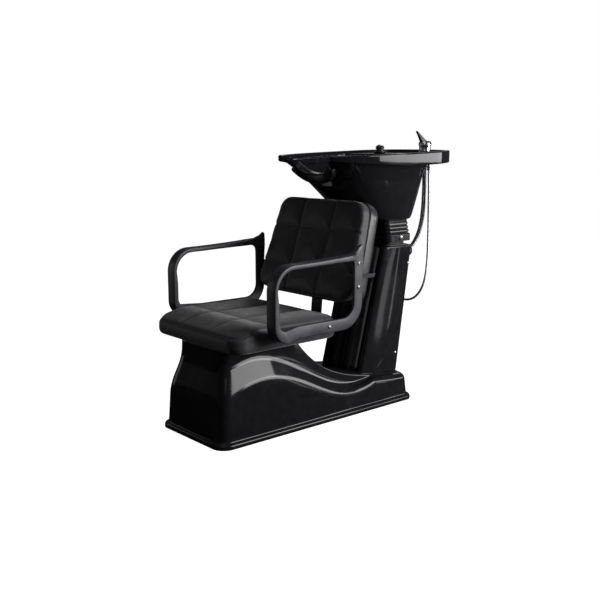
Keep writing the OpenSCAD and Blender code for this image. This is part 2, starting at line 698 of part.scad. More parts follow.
module hair_strainer() {
    color("silver") from_front() translate([0, drain_y, basin_floor_z + basin_wall + 7]) difference() {
        union() {
            cylinder(r = 28, h = 2);
            translate([0, 0, -14]) cylinder(r = 18.5, h = 15);
        }
        translate([0, 0, -12.5]) cylinder(r = 17, h = 20);
        for (a = [0:45:315]) rotate(a) translate([11, 0, -20]) cylinder(r = 2.4, h = 30);
        for (a = [0:90:270]) rotate(a) translate([5, 0, -20]) cylinder(r = 2, h = 30);
    }
}

// ---- Waste and water ----

waste_y = 868;
inlet_x = 45;
inlet_y = 781;
service_z = 55;

// A plate on legs over the frame's rear tube, which holds the waste outlet and the two water inlets.
module service_plate() {
    color("#55585c") from_front() difference() {
        union() {
            translate([-60, 762, service_z]) cube([120, 133, 3]);
            both_sides() translate([57, 812, pad_h + frame_tube])
                cube([3, 20, service_z + 1 - pad_h - frame_tube]);
        }
        translate([0, waste_y, service_z - 10]) cylinder(r = 20.2, h = 30);
        both_sides() translate([inlet_x, inlet_y, service_z - 10]) cylinder(r = 10.6, h = 30);
    }
}

module waste_outlet() {
    color("#c8c8c4") from_front() translate([0, waste_y, 30]) {
        tube(20, 17, 24);
        translate([0, 0, 24]) tube(19.5, 17, 46);
        translate([0, 0, service_z + 3 - 30]) tube(25, 19.4, 6);
        translate([0, 0, 60]) tube(25, 19.4, 34);
    }
}

waste_route = [[0, waste_y, 96], [0, waste_y, 130], [0, 869, 180], [0, 874, 240], [0, 882, 300], [0, 893, 360],
    [0, 904, 420], [0, 916, 480], [0, 926, 530], [0, 934, 562], [0, 936, 582], [0, 936, 600]];
module waste_hose() {
    color("#d8d8d4") from_front() sweep(waste_route, 16.5, 12, [1, 0, 0]);
}

module water_inlets() {
    color("goldenrod") from_front() both_sides() translate([inlet_x, inlet_y, 40]) {
        cylinder(r = 10.4, h = 14);
        cylinder(r = 10, h = 20);
        translate([0, 0, 18]) hex(24, 14);
        translate([0, 0, 32]) cylinder(r = 8, h = 20);
    }
}

module supply_hose(i) {
    translate([supply_xs[i], 0, 0]) sweep(supply_route, supply_d / 2, 8, [1, 0, 0]);
}

module supply_hose_hot() {
    color("#4a4a4c") from_front() supply_hose(0);
}

module supply_hose_cold() {
    color("#4a4a4c") from_front() supply_hose(1);
}

module supply_nuts() {
    color("goldenrod") from_front() for (x = supply_xs) translate([x, tap_y + 2, 896]) hex(9.8, 12.5);
}

module shower_hose() {
    color("silver") from_front() sweep(shower_route, hose_d / 2, 8, [0, 1, 0.01]);
}

module outlet_ferrule() {
    color("silver") from_front() translate(shower_route[0]) cylinder(r = 8, h = 16.5);
}

module handle_ferrule() {
    color("silver") from_front() translate(shower_route[len(shower_route) - 1]) cylinder(r = 8, h = 12);
}

// ---- Mixer tap ----

module at_tap() {
    from_front() translate([tap_x, tap_y, ledge_z]) children();
}

module mixer_base() {
    color("silver") at_tap() difference() {
        rotate_extrude() intersection() {
            translate([0, -20]) circle(34);
            square([26, 6]);
        }
        translate([0, 0, -1]) cylinder(r = shank_r + 0.2, h = 20);
    }
}

shank_end = 909;
shank_r = 11;
module mixer_body() {
    color("silver") {
        at_tap() translate([0, 0, 6]) rotate_extrude() polygon([[0, 0], [tap_r + 1, 0], [tap_r, 3],
            [tap_r - 1.5, 20], [tap_r, 24], [15, 24], [15, 12], [0, 12]]);
        from_front() translate([tap_x, tap_y, shank_end]) {
            cylinder(r = shank_r, h = ledge_z + 7 - shank_end);
            translate([0, 0, 6]) rotate([0, 90, 0]) cylinder(r = 5.5, h = 24);
            translate([24, 0, -6.5]) cylinder(r = 6.5, h = 18);
        }
    }
}

module mixer_cartridge() {
    color("goldenrod") at_tap() {
        translate([0, 0, 18]) cylinder(r = 14.8, h = 12);
        translate([0, 0, 30]) cylinder(r = 6, h = 8);
    }
}

nut_gap = 11;
module mixer_locknut() {
    color("goldenrod") at_tap() translate([0, 0, -ledge_t - nut_gap]) difference() {
        hex(31, 8);
        translate([0, 0, -1]) cylinder(r = shank_r + 0.1, h = 20);
    }
}

module mixer_cap() {
    color("silver") at_tap() difference() {
        translate([0, 0, 30 + clear]) rotate_extrude() polygon(concat([[0, 0], [tap_r + 1.5, 0]],
            arc([tap_r - 10.5, 6], 12, 0, 90, 6), [[0, 18]]));
        translate([0, 0, 30]) cylinder(r = 8, h = 9);
        translate([-6, -30, 41]) cube([12, 40, 20]);
        translate([0, tap_r - 6, 37]) rotate([-90, 0, 0]) cylinder(r = 3.05, h = 20);
    }
}

lever_pivot = [0, 4, 46];
module mixer_lever() {
    color("#131315") at_tap() translate(lever_pivot) {
        rotate([0, 90, 0]) translate([0, 0, -5.6]) cylinder(r = 4.5, h = 11.2);
        rotate([-38, 0, 0]) difference() {
            translate([-5.5, -16, -3]) cube([11, 16, 6]);
            translate([-6, -9, 2.4]) cube([12, 5, 2]);
        }
        rotate([-38, 0, 0]) translate([0, -14, -3]) rotate([90, 0, 0]) linear_extrude(50)
            polygon([[-7.5, 0], [7.5, 0], [6, 6], [-6, 6]]);
    }
}

module lever_screw() {
    color("silver") at_tap() translate([0, tap_r - 5.5, 37]) rotate([-90, 0, 0]) cylinder(r = 3, h = 6.5);
}

// ---- Hand shower ----

module at_shower() {
    from_front() translate([shower_x, shower_y, ledge_z]) children();
}

module shower_holder() {
    color("#161618") at_shower() difference() {
        union() {
            cylinder(r = 25, h = 6);
            translate([0, 0, -22]) cylinder(r = 18.8, h = 24);
        }
        translate([0, 0, -30]) cylinder(r1 = 12.5, r2 = 16.5, h = 37);
    }
}

module shower_handle() {
    color("#131315") at_shower() rotate_extrude() polygon([[0, -139], [8, -139], [8.5, -120], [10, -80],
        [11.2, -28], [15.4, 6], [15, 14], [0, 14]]);
}

module shower_head() {
    color("#131315") at_shower() translate([0, 0, 14]) rotate_extrude() polygon(concat([[0, 0], [15, 0]],
        arc([7, 4], 11, -20, 90, 7), [[0, 15]]));
}

module spray_face() {
    color("lightgray") at_shower() translate([0, 0, 29]) difference() {
        cylinder(r = 9, h = 3);
        for (a = [0:60:300]) rotate(a) translate([5.5, 0, 1.5]) cylinder(r = 0.8, h = 3);
    }
}

base_shell();
base_frame();
floor_pads();
seat_pedestal();
seat_mount_plate();
seat_bolts();
seat_pan();
seat_cushion();
back_shell();
back_cushion();
back_support();
back_brackets();
left_armrest();
right_armrest();
armrest_spacers();
armrest_screws();
column_shell();
column_cover();
cover_screws();
column_posts();
hose_grommet();
neck_boot();
pivot_bracket();
pivot_bolts();
service_plate();
water_inlets();
waste_outlet();
waste_hose();
basin();
basin_collar();
basin_bracket();
neck_rest();
drain_flange();
drain_nut();
drain_tailpiece();
hair_strainer();
shower_holder();
shower_handle();
shower_head();
spray_face();
mixer_base();
mixer_body();
mixer_cartridge();
mixer_locknut();
mixer_cap();
mixer_lever();
lever_screw();
supply_hose_hot();
supply_hose_cold();
supply_nuts();
shower_hose();
outlet_ferrule();
handle_ferrule();
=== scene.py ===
"""Looks for the shampoo backwash unit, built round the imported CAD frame. Metres, Z up, facing -Y."""
import json
import math

import bmesh
import bpy
import numpy as np
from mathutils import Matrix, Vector


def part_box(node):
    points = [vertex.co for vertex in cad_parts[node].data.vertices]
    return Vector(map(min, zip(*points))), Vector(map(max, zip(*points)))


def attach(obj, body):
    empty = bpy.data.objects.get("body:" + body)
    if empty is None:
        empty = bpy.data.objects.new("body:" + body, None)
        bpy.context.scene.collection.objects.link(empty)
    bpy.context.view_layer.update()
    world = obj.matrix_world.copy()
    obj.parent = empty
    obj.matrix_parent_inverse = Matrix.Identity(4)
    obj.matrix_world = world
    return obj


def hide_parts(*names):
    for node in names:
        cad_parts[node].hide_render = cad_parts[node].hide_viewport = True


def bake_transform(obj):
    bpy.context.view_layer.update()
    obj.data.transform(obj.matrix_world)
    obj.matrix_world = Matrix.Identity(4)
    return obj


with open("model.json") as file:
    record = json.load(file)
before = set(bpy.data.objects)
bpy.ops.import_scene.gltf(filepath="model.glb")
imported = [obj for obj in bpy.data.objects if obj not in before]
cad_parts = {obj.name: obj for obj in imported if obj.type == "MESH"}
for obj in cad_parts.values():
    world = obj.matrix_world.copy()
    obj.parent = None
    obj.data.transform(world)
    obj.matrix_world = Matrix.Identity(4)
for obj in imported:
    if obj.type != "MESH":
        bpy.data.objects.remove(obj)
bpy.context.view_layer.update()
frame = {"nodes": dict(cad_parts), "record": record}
NODES = frame["nodes"]
SCENE = bpy.context.scene
COLLECTION = SCENE.collection
MID_Y = 573.0           # the frame's origin, from the base's front edge
COLUMN_TOP = 600.0
COLUMN_HALF = 122.0     # half the column's width
NECK_Y = 918.0          # the middle of the boot and the collar


# ---- Helpers ----
# Tables below are in millimetres, with Y from the base's front edge, as in the CAD source.

def metres(points):
    a = np.array(points, float)
    return (a - np.array([0.0, MID_Y, 0.0])) / 1000.0


def mix(a, b, t):
    return a * (1 - t) + b * t


def step(a, b, x):
    t = np.clip((x - a) / (b - a), 0, 1)
    return t * t * (3 - 2 * t)


def make(name, verts, faces, body, slot, replaces=(), angle=40, look=None):
    """A piece from points in metres, with its faces turned outward, riding on a body."""
    mesh = bpy.data.meshes.new(name)
    mesh.from_pydata([tuple(v) for v in verts], [], [tuple(f) for f in faces])
    bm = bmesh.new()
    bm.from_mesh(mesh)
    bmesh.ops.remove_doubles(bm, verts=bm.verts, dist=1e-6)
    bmesh.ops.recalc_face_normals(bm, faces=bm.faces)
    bm.to_mesh(mesh)
    bm.free()
    return adopt(name, mesh, body, slot, replaces, angle, look)


def adopt(name, mesh, body, slot, replaces=(), angle=40, look=None):
    """A smooth-shaded piece from a finished mesh; edges sharper than the angle stay crisp."""
    piece = bpy.data.objects.new(name, mesh)
    COLLECTION.objects.link(piece)
    mesh.materials.clear()
    mesh.materials.append(look or SLOT_MATERIAL[slot])
    mesh.shade_smooth()
    if angle < 180:
        mesh.set_sharp_from_angle(angle=math.radians(angle))
    if body:
        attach(piece, body)
    if replaces:
        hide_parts(*replaces)
    return piece


def applied(piece):
    """The piece's mesh with its modifiers worked in."""
    graph = bpy.context.evaluated_depsgraph_get()
    graph.update()
    mesh = bpy.data.meshes.new_from_object(piece.evaluated_get(graph), depsgraph=graph)
    piece.modifiers.clear()
    old = piece.data
    piece.data = mesh
    mesh.name = old.name
    bpy.data.meshes.remove(old)
    return piece


def modified(piece, kind, **settings):
    """Works one modifier into the piece's mesh."""
    modifier = piece.modifiers.new(kind.lower(), kind)
    for key, value in settings.items():
        setattr(modifier, key, value)
    return applied(piece)


def points_of(mesh):
    co = np.zeros(len(mesh.vertices) * 3)
    mesh.vertices.foreach_get("co", co)
    return co.reshape(-1, 3)


def set_points(mesh, co):
    mesh.vertices.foreach_set("co", co.ravel())


def grid_faces(m, n, closed=True, loop=False):
    """Faces of m rows of n points, each row closed or not, and the last row joined to the first or not."""
    faces = []
    for k in range(m if loop else m - 1):
        a, b = k * n, ((k + 1) % m) * n
        for i in range(n if closed else n - 1):
            j = (i + 1) % n
            faces.append((a + i, a + j, b + j, b + i))
    return faces


def loft(rings, loop=False, cap=False):
    """Points and faces of a skin through rings with equal point counts."""
    m, n = len(rings), len(rings[0])
    faces = grid_faces(m, n, True, loop)
    if cap:
        faces += [tuple(range(n - 1, -1, -1)), tuple(range((m - 1) * n, m * n))]
    return np.concatenate([np.array(r, float) for r in rings]), faces


def fillet_rings(rings, cuts, parts=5):
    """Rounds the skin at each inner ring: a curve in place of the ring, cut mm long on each side.

    A cut may be one number or one for each point of the ring.
    """
    r = np.array(rings, float)
    out = [r[0]]
    for k in range(1, len(r) - 1):
        if np.max(cuts[k]) <= 0:
            out.append(r[k])
            continue
        before, after = r[k - 1] - r[k], r[k + 1] - r[k]
        lb = np.linalg.norm(before, axis=1, keepdims=True) + 1e-9
        la = np.linalg.norm(after, axis=1, keepdims=True) + 1e-9
        a = r[k] + before * np.minimum(0.49, cuts[k] / lb)
        c = r[k] + after * np.minimum(0.49, cuts[k] / la)
        for i in range(parts + 1):
            t = i / parts
            out.append(a * (1 - t) ** 2 + 2 * r[k] * t * (1 - t) + c * t * t)
    out.append(r[-1])
    return out


def spline(points, parts, closed=False):
    """A smooth curve through points, with some parts between each two."""
    p = np.array(points, float)
    n = len(p)
    out = []
    for i in range(n if closed else n - 1):
        if closed:
            a, b, c, d = p[i - 1], p[i], p[(i + 1) % n], p[(i + 2) % n]
        else:
            b, c = p[i], p[i + 1]
            a = p[i - 1] if i else 2 * b - c
            d = p[i + 2] if i + 2 < n else 2 * c - b
        for k in range(parts):
            t = k / parts
            out.append(0.5 * (2 * b + (c - a) * t + (2 * a - 5 * b + 4 * c - d) * t * t
                              + (3 * b - a - 3 * c + d) * t ** 3))
    if not closed:
        out.append(p[-1])
    return np.array(out)


def evenly(path, gap):
    """The same path with points an equal distance apart."""
    p = np.array(path, float)
    along = np.concatenate([[0], np.cumsum(np.linalg.norm(np.diff(p, axis=0), axis=1))])
    n = max(2, int(round(along[-1] / gap)) + 1)
    at = np.linspace(0, along[-1], n)
    return np.stack([np.interp(at, along, p[:, i]) for i in range(3)], axis=1)


def sweep_rings(path, section, up=(0, 1, 0.01)):
    """Rings of a section, given as [side, other] offsets or a function of the station, along a path."""
    p = np.array(path, float)
    rings = []
    for i in range(len(p)):
        d = p[min(i + 1, len(p) - 1)] - p[max(i - 1, 0)]
        d = d / np.linalg.norm(d)
        u = np.array(up, float)
        u = u - d * (u @ d)
        u = u / np.linalg.norm(u)
        v = np.cross(d, u)
        s = section(i) if callable(section) else section
        rings.append(p[i] + np.outer(s[:, 0], u) + np.outer(s[:, 1], v))
    return rings


def circle(r, n):
    a = np.linspace(0, 2 * np.pi, n, endpoint=False)
    return np.stack([r * np.cos(a), r * np.sin(a)], axis=1)


def soft_square(w, h, r, corner=4):
    """A rounded rectangle's outline, w across and h high, round its middle."""
    out = []
    for cx, cy, a0 in ((1, 1, 0), (-1, 1, 90), (-1, -1, 180), (1, -1, 270)):
        for k in range(corner + 1):
            a = math.radians(a0 + 90 * k / corner)
            out.append([cx * (w / 2 - r) + r * math.cos(a), cy * (h / 2 - r) + r * math.sin(a)])
    return np.array(out)


def smooth_profile(points, cut):
    """A profile of [radius, height, optional cut], with its corners rounded."""
    cuts = [p[2] if len(p) > 2 else cut for p in points]
    return [ring[0] for ring in fillet_rings([[p[:2]] for p in points], cuts, 4)]


def lathe(points, at, cut=0.6, turns=64, axis=(0, 0, 1)):
    """Points in metres and faces of a turned form: a closed loop of [radius, height] about an axis."""
    profile = smooth_profile(points, cut)
    z = Vector(axis).normalized()
    turn = np.array(z.to_track_quat("Z", "Y").to_matrix())
    rings = []
    for r, h in profile:
        c = circle(max(r, 0.001), turns)
        local = np.column_stack([c, np.full(turns, h)])
        rings.append(local @ turn.T + np.array(at, float))
    verts, faces = loft(rings)
    return metres(verts), faces


def joined(parts):
    """Several [points, faces] pairs as one."""
    verts, faces, start = [], [], 0
    for v, f in parts:
        verts.append(np.array(v))
        faces += [tuple(i + start for i in face) for face in f]
        start += len(v)
    return np.concatenate(verts), faces


# ---- Materials ----

def scaled(color, k):
    return tuple(min(1, c * k) for c in color)


def new_node(tree, kind, inputs=(), **settings):
    """A shader node with its settings, each input given a value or joined to a socket."""
    node = tree.nodes.new(kind)
    for key, value in settings.items():
        setattr(node, key, value)
    for key, value in dict(inputs).items():
        if isinstance(value, bpy.types.NodeSocket):
            tree.links.new(value, node.inputs[key])
        else:
            node.inputs[key].default_value = value
    return node


def material(name, color, roughness, metallic=0.0, ior=1.45, specular=0.5):
    """A new material: itself, its node tree, its shader and its object coordinates."""
    m = bpy.data.materials.new(name)
    m.use_nodes = True
    tree = m.node_tree
    tree.nodes.clear()
    shader = new_node(tree, "ShaderNodeBsdfPrincipled", {
        "Base Color": (*color, 1), "Roughness": roughness, "Metallic": metallic, "IOR": ior,
        "Specular IOR Level": specular})
    new_node(tree, "ShaderNodeOutputMaterial", {"Surface": shader.outputs["BSDF"]})
    return m, tree, shader, new_node(tree, "ShaderNodeTexCoord").outputs["Object"]


def noise_tex(tree, coords, scale, detail=3.0, stretch=None):
    """A noise, stretched along an axis where stretch is given."""
    if stretch:
        coords = new_node(tree, "ShaderNodeMapping", {"Scale": stretch, "Vector": coords}).outputs["Vector"]
    inputs = {"Scale": scale, "Detail": detail, "Vector": coords}
    return new_node(tree, "ShaderNodeTexNoise", inputs).outputs["Fac"]


def cells_tex(tree, coords, scale):
    return new_node(tree, "ShaderNodeTexVoronoi", {"Scale": scale, "Vector": coords},
                    feature="DISTANCE_TO_EDGE").outputs["Distance"]


def ranged(tree, value, low, high, lo_in=0.3, hi_in=0.7):
    """A value remapped from lo_in..hi_in to low..high."""
    inputs = {"Value": value, "From Min": lo_in, "From Max": hi_in, "To Min": low, "To Max": high}
    return new_node(tree, "ShaderNodeMapRange", inputs).outputs["Result"]


def bumped(tree, shader, height, distance, strength=0.5, after=None):
    """Gives a shader a bump, over an earlier one where after is given."""
    inputs = {"Strength": strength, "Distance": distance, "Height": height}
    if after is not None:
        inputs["Normal"] = after
    normal = new_node(tree, "ShaderNodeBump", inputs).outputs["Normal"]
    tree.links.new(normal, shader.inputs["Normal"])
    return normal


def tinted(tree, shader, value, dark, light, lo_in=0.3, hi_in=0.7):
    """Colours a shader from dark to light by a value."""
    ramp = new_node(tree, "ShaderNodeValToRGB", {"Fac": value})
    for element, at, color in zip(ramp.color_ramp.elements, (lo_in, hi_in), (dark, light)):
        element.position = at
        element.color = (*color, 1)
    tree.links.new(ramp.outputs["Color"], shader.inputs["Base Color"])


def gloss(name, color, roughness=0.07, ior=1.42, wave=0.00012):
    """Polished black moulding: a faint long waviness from the mould, fine dust in the polish."""
    m, tree, shader, co = material(name, color, roughness, ior=ior)
    fine = noise_tex(tree, co, 260, 2)
    tree.links.new(ranged(tree, noise_tex(tree, co, 11, 4), roughness * 0.6, roughness * 1.7),
                   shader.inputs["Roughness"])
    first = bumped(tree, shader, noise_tex(tree, co, 14, 2), wave * 6, 0.25)
    bumped(tree, shader, fine, wave * 0.25, 0.25, first)
    tinted(tree, shader, noise_tex(tree, co, 30, 3), scaled(color, 0.8), scaled(color, 1.25))
    return m


def leather(name, color, grain=620.0):
    """Leatherette: fine cells with soft pores, a worn sheen and a slight change of tone."""
    m, tree, shader, co = material(name, color, 0.44, ior=1.40, specular=0.38)
    cells = cells_tex(tree, co, grain)
    folds = noise_tex(tree, co, 55, 4)
    a = bumped(tree, shader, folds, 0.0022, 0.28)
    b = bumped(tree, shader, ranged(tree, cells, 0, 1, 0.0, 0.22), 0.00035, 0.55, a)
    bumped(tree, shader, noise_tex(tree, co, grain * 2.2, 2), 0.0001, 0.4, b)
    tree.links.new(ranged(tree, noise_tex(tree, co, 26, 4), 0.36, 0.56), shader.inputs["Roughness"])
    tinted(tree, shader, noise_tex(tree, co, 18, 5), scaled(color, 0.78), scaled(color, 1.3))
    shader.inputs["Sheen Weight"].default_value = 0.12
    shader.inputs["Sheen Roughness"].default_value = 0.45
    return m


def plastic(name, color, roughness=0.42, grain=900.0, depth=0.00016, specular=0.42):
    """Textured moulded plastic with a spark-eroded grain and handling polish."""
    m, tree, shader, co = material(name, color, roughness, ior=1.42, specular=specular)
    grit = noise_tex(tree, co, grain, 3)
    bumped(tree, shader, grit, depth, 0.6)
    tree.links.new(ranged(tree, noise_tex(tree, co, 16, 4), roughness * 0.8, roughness * 1.2),
                   shader.inputs["Roughness"])
    tinted(tree, shader, noise_tex(tree, co, 60, 4), scaled(color, 0.85), scaled(color, 1.2))
    return m


def metal(name, color, roughness, bump=0.00003):
    """Polished metal with fine scratches and a slight change of tone."""
    m, tree, shader, co = material(name, color, roughness, metallic=1.0)
    scratches = noise_tex(tree, co, 320, 3)
    tree.links.new(ranged(tree, scratches, roughness * 0.7, roughness * 1.5), shader.inputs["Roughness"])
    bumped(tree, shader, scratches, bump, 0.35)
    tinted(tree, shader, noise_tex(tree, co, 45, 3), scaled(color, 0.9), scaled(color, 1.06))
    return m


def braided(name, color):
    """A fine steel braid round rubber: two crossing helical waves."""
    m, tree, shader, co = material(name, color, 0.34, metallic=0.85)
    turned = new_node(tree, "ShaderNodeMapping", {
        "Rotation": (0, math.radians(35), math.radians(25)), "Vector": co}).outputs["Vector"]
    waves = [new_node(tree, "ShaderNodeTexWave", {"Scale": 240, "Distortion": 0.6, "Vector": turned},
                      bands_direction=direction).outputs["Fac"] for direction in ("X", "Z")]
    both = new_node(tree, "ShaderNodeMath", {0: waves[0], 1: waves[1]}, operation="MAXIMUM").outputs["Value"]
    bumped(tree, shader, both, 0.0005, 0.7)
    tinted(tree, shader, both, scaled(color, 0.35), color, 0.2, 0.9)
    return m


def plywood(name):
    """Black-stained plywood."""
    m, tree, shader, co = material(name, (0.030, 0.027, 0.024), 0.6)
    rings = noise_tex(tree, co, 22, 6, (1, 9, 30))
    tinted(tree, shader, rings, (0.018, 0.016, 0.014), (0.038, 0.034, 0.030))
    bumped(tree, shader, rings, 0.0004, 0.4)
    return m


# How each slot of the record is made: its kind of material, colour, roughness and so on.
SLOT_LOOKS = {
    "base_gloss": (gloss, (0.0035, 0.0035, 0.0042), 0.075, 1.40),
    "basin_gloss": (gloss, (0.0035, 0.0035, 0.0042), 0.06, 1.40),
    "seat_leather": (leather, (0.0082, 0.0082, 0.0102)),
    "arm_plastic": (plastic, (0.0165, 0.0163, 0.0200), 0.36),
    "shell_plastic": (plastic, (0.013, 0.0128, 0.0150), 0.28, 1100, 0.0001),
    "black_rubber": (plastic, (0.0085, 0.0085, 0.009), 0.50, 700, 0.0002),
    "frame_steel": (plastic, (0.009, 0.009, 0.010), 0.45, 480, 0.0002, 0.12),
    "bolt_steel": (metal, (0.44, 0.44, 0.46), 0.26),
    "chrome": (metal, (0.78, 0.78, 0.80), 0.07, 0.00001),
    "brass": (metal, (0.72, 0.50, 0.20), 0.22),
    "pipe_plastic": (plastic, (0.52, 0.52, 0.50), 0.35),
    "shower_plastic": (plastic, (0.008, 0.008, 0.009), 0.22, 1200, 0.00005),
    "spray_plastic": (plastic, (0.26, 0.26, 0.27), 0.42),
    "cartridge_plastic": (plastic, (0.72, 0.70, 0.62), 0.4),
    "steel_hose": (metal, (0.62, 0.62, 0.64), 0.24, 0.00005),
    "braided_hose": (braided, (0.30, 0.30, 0.32)),
    "pan_plywood": (plywood,)}
SLOT_MATERIAL = {slot: kind(slot, *values) for slot, (kind, *values) in SLOT_LOOKS.items()}
COLLAR = gloss("collar_gloss", (0.0045, 0.0045, 0.0052), 0.16, 1.40)
REST = gloss("rest_rubber", (0.0038, 0.0038, 0.0045), 0.2, 1.38, 0.00003)
THREAD = plastic("thread", (0.006, 0.006, 0.0065), 0.7, 1500, 0.0002)
SLOT_OF = {s["node"]: s["material_slot"] for s in frame["record"]["subparts"]}
BODY_OF = {n: b for b, ns in frame["record"]["behaviour"]["bodies"].items() for n in ns}

for node_name, node in NODES.items():
    if not node.material_slots:
        node.data.materials.append(None)
    for s in node.material_slots:
        s.material = SLOT_MATERIAL[SLOT_OF[node_name]]


# ---- Camera ----

AZIMUTH, PITCH = math.radians(49.1), math.radians(10.6)
camera_data = bpy.data.cameras.new("camera")
camera_data.sensor_width = 36
camera_data.lens = 51.06
camera = bpy.data.objects.new("camera", camera_data)
COLLECTION.objects.link(camera)
camera.location = (2.341, -2.100, 1.0)
forward = Vector((-math.sin(AZIMUTH) * math.cos(PITCH), math.cos(AZIMUTH) * math.cos(PITCH),
                  -math.sin(PITCH)))
camera.rotation_euler = forward.to_track_quat("-Z", "Y").to_euler()
SCENE.camera = camera


# ---- Cords ----

SHOWER_ROUTE = [[124, 1062, 886], [124, 1062, 860], [124, 1064, 830], [124, 1065, 790], [124, 1066, 750],
                [124, 1067, 705], [124, 1068, 660], [123, 1069, 610], [122, 1070, 560], [118, 1071, 510],
                [110, 1073, 464], [96, 1075, 424], [74, 1077, 390], [46, 1078, 366], [14, 1078, 354],
                [-20, 1077, 354], [-54, 1075, 366], [-83, 1072, 390], [-105, 1069, 424], [-119, 1065, 464],
                [-125, 1061, 510], [-128, 1057, 560], [-128, 1053, 610], [-128, 1050, 660], [-128, 1048, 710],
                [-128, 1046, 760], [-128, 1046, 800]]
SUPPLY_ROUTE = [[0, 1064, 896], [0, 1064, 870], [0, 1064, 840], [0, 1064, 810], [0, 1063, 780],
                [0, 1062, 750], [-1, 1060, 720], [-2, 1057, 692], [-4, 1052, 665], [-6, 1044, 640],
                [-8, 1033, 619], [-9, 1018, 600], [-10, 1002, 585], [-10, 988, 574], [-10, 976, 566]]


def ridged_tube(route, radius, pitch, depth, sides, per_pitch, up):
    """A tube with rings of ridges, and the path that it follows in metres."""
    path = evenly(spline(route, 8), pitch / per_pitch)
    ring = circle(1, sides)

    def section(i):
        wave = 0.5 - 0.5 * math.cos(2 * math.pi * i / per_pitch)
        return ring * (radius - depth * wave)
    verts, faces = loft(sweep_rings(path, section, up), cap=True)
    return metres(verts), faces, metres(path)


verts, faces, path = ridged_tube(SHOWER_ROUTE, 5.0, 2.6, 0.7, 14, 4, (0, 1, 0.01))
shower_hose = make("shower_hose_wound", verts, faces, None, "steel_hose", ["shower_hose"], 180)


def ferrule(name, at, height, body, node):
    """A turned ferrule with a knurled waist."""
    points = [[0, 0], [7.2, 0], [8, 1.2], [8, 3], [7.3, 3.6], [7.3, height - 4.5], [8, height - 3.8],
              [8, height - 0.8], [7.2, height], [0, height]]
    v, f = lathe(points, at, 0.5, 48)
    return make(name, v, f, body, "chrome", [node])


outlet_nut = ferrule("outlet_ferrule_turned", SHOWER_ROUTE[0], 16.5, "basin", "outlet_ferrule")
handle_nut = ferrule("handle_ferrule_turned", SHOWER_ROUTE[-1], 12, "hand_shower", "handle_ferrule")
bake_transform(shower_hose)

for label, x in (("hot", 94.5), ("cold", 105.5)):
    route = [[p[0] + x, p[1], p[2]] for p in SUPPLY_ROUTE]
    verts, faces, path = ridged_tube(route, 4.5, 4.0, 0.12, 16, 2, (1, 0, 0))
    hose = make(f"supply_hose_{label}_braided", verts, faces, None, "braided_hose",
                [f"supply_hose_{label}"], 180)
    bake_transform(hose)


# ---- Base moulding ----

def top_z(y):
    """The base's top: level under the seat, then falling away to the rear deck."""
    return np.where(y < 362, 322.0, 101 + 221 * np.exp(-(y - 362) / 160))


def upper_edge(y):
    return np.minimum(194 + 92 * np.cos(np.pi * (y - 180) / 480), top_z(y) - 3)


def lower_edge(y):
    return np.minimum(148 + 56 * np.cos(np.pi * (y - 210) / 405), top_z(y) - 10)


# Plans as half width, front, back and corner radius: the foot flange, the body and the narrow neck.
FLANGE, LOWER, NECK = (188, 0, 939, 48), (176, 12, 927, 42), (132, 54, 905, 28)


def plan_ring(plan, inset):
    """A closed plan outline, dense enough for the shoulder's wave, from the front middle round by +X."""
    w, f, b = plan[0] - inset, plan[1] + inset, plan[2] - inset
    r = max(plan[3] - inset, 6)
    half = [[x, f] for x in np.linspace(0, w - r, 9)[:-1]]
    quarter = np.linspace(0, math.pi / 2, 13)[:-1]
    half += [[w - r + r * math.sin(a), f + r - r * math.cos(a)] for a in quarter]
    half += [[w, y] for y in np.linspace(f + r, b - r, 111)[:-1]]
    half += [[w - r + r * math.cos(a), b - r + r * math.sin(a)] for a in quarter]
    half += [[x, b] for x in np.linspace(w - r, 0, 9)]
    half = np.array(half)
    return np.concatenate([half, half[-2:0:-1] * [-1, 1]])


def base_ring(plan, inset, height):
    p = plan_ring(plan, inset)
    z = height(p[:, 1]) if callable(height) else np.full(len(p), float(height))
    return np.column_stack([p, z])


rings = [base_ring(FLANGE, 0, 1), base_ring(FLANGE, 0, 12), base_ring(FLANGE, 4, 18),
         base_ring(LOWER, 0, 20),
         base_ring(LOWER, 5, lambda y: mix(20, lower_edge(y), 0.5)),
         base_ring(LOWER, 9, lambda y: lower_edge(y) - 3), base_ring(NECK, -3, lambda y: upper_edge(y) - 2),
         base_ring(NECK, 0, lambda y: top_z(y) - 2), base_ring(NECK, 6, top_z)]
at_front = (1 - step(14, 60, rings[5][:, 1]))[:, None]
rings = fillet_rings(rings, [0, 5, 5, 7, 40, 19 + 31 * at_front, 20 + 30 * at_front, 6, 0], 8)
verts, faces = loft(rings)
count = len(rings[0])
last = (len(rings) - 1) * count
half_count = count // 2
for i in range(half_count):
    quad = [last + i, last + i + 1, last + (count - i - 1) % count, last + (count - i) % count]
    faces.append(tuple(dict.fromkeys(quad)))
base = make("base_moulding", metres(verts), faces, "stand", "base_gloss", ["base_shell"], 180)
modified(base, "SOLIDIFY", thickness=0.0045, offset=-1)


# ---- Basin ----

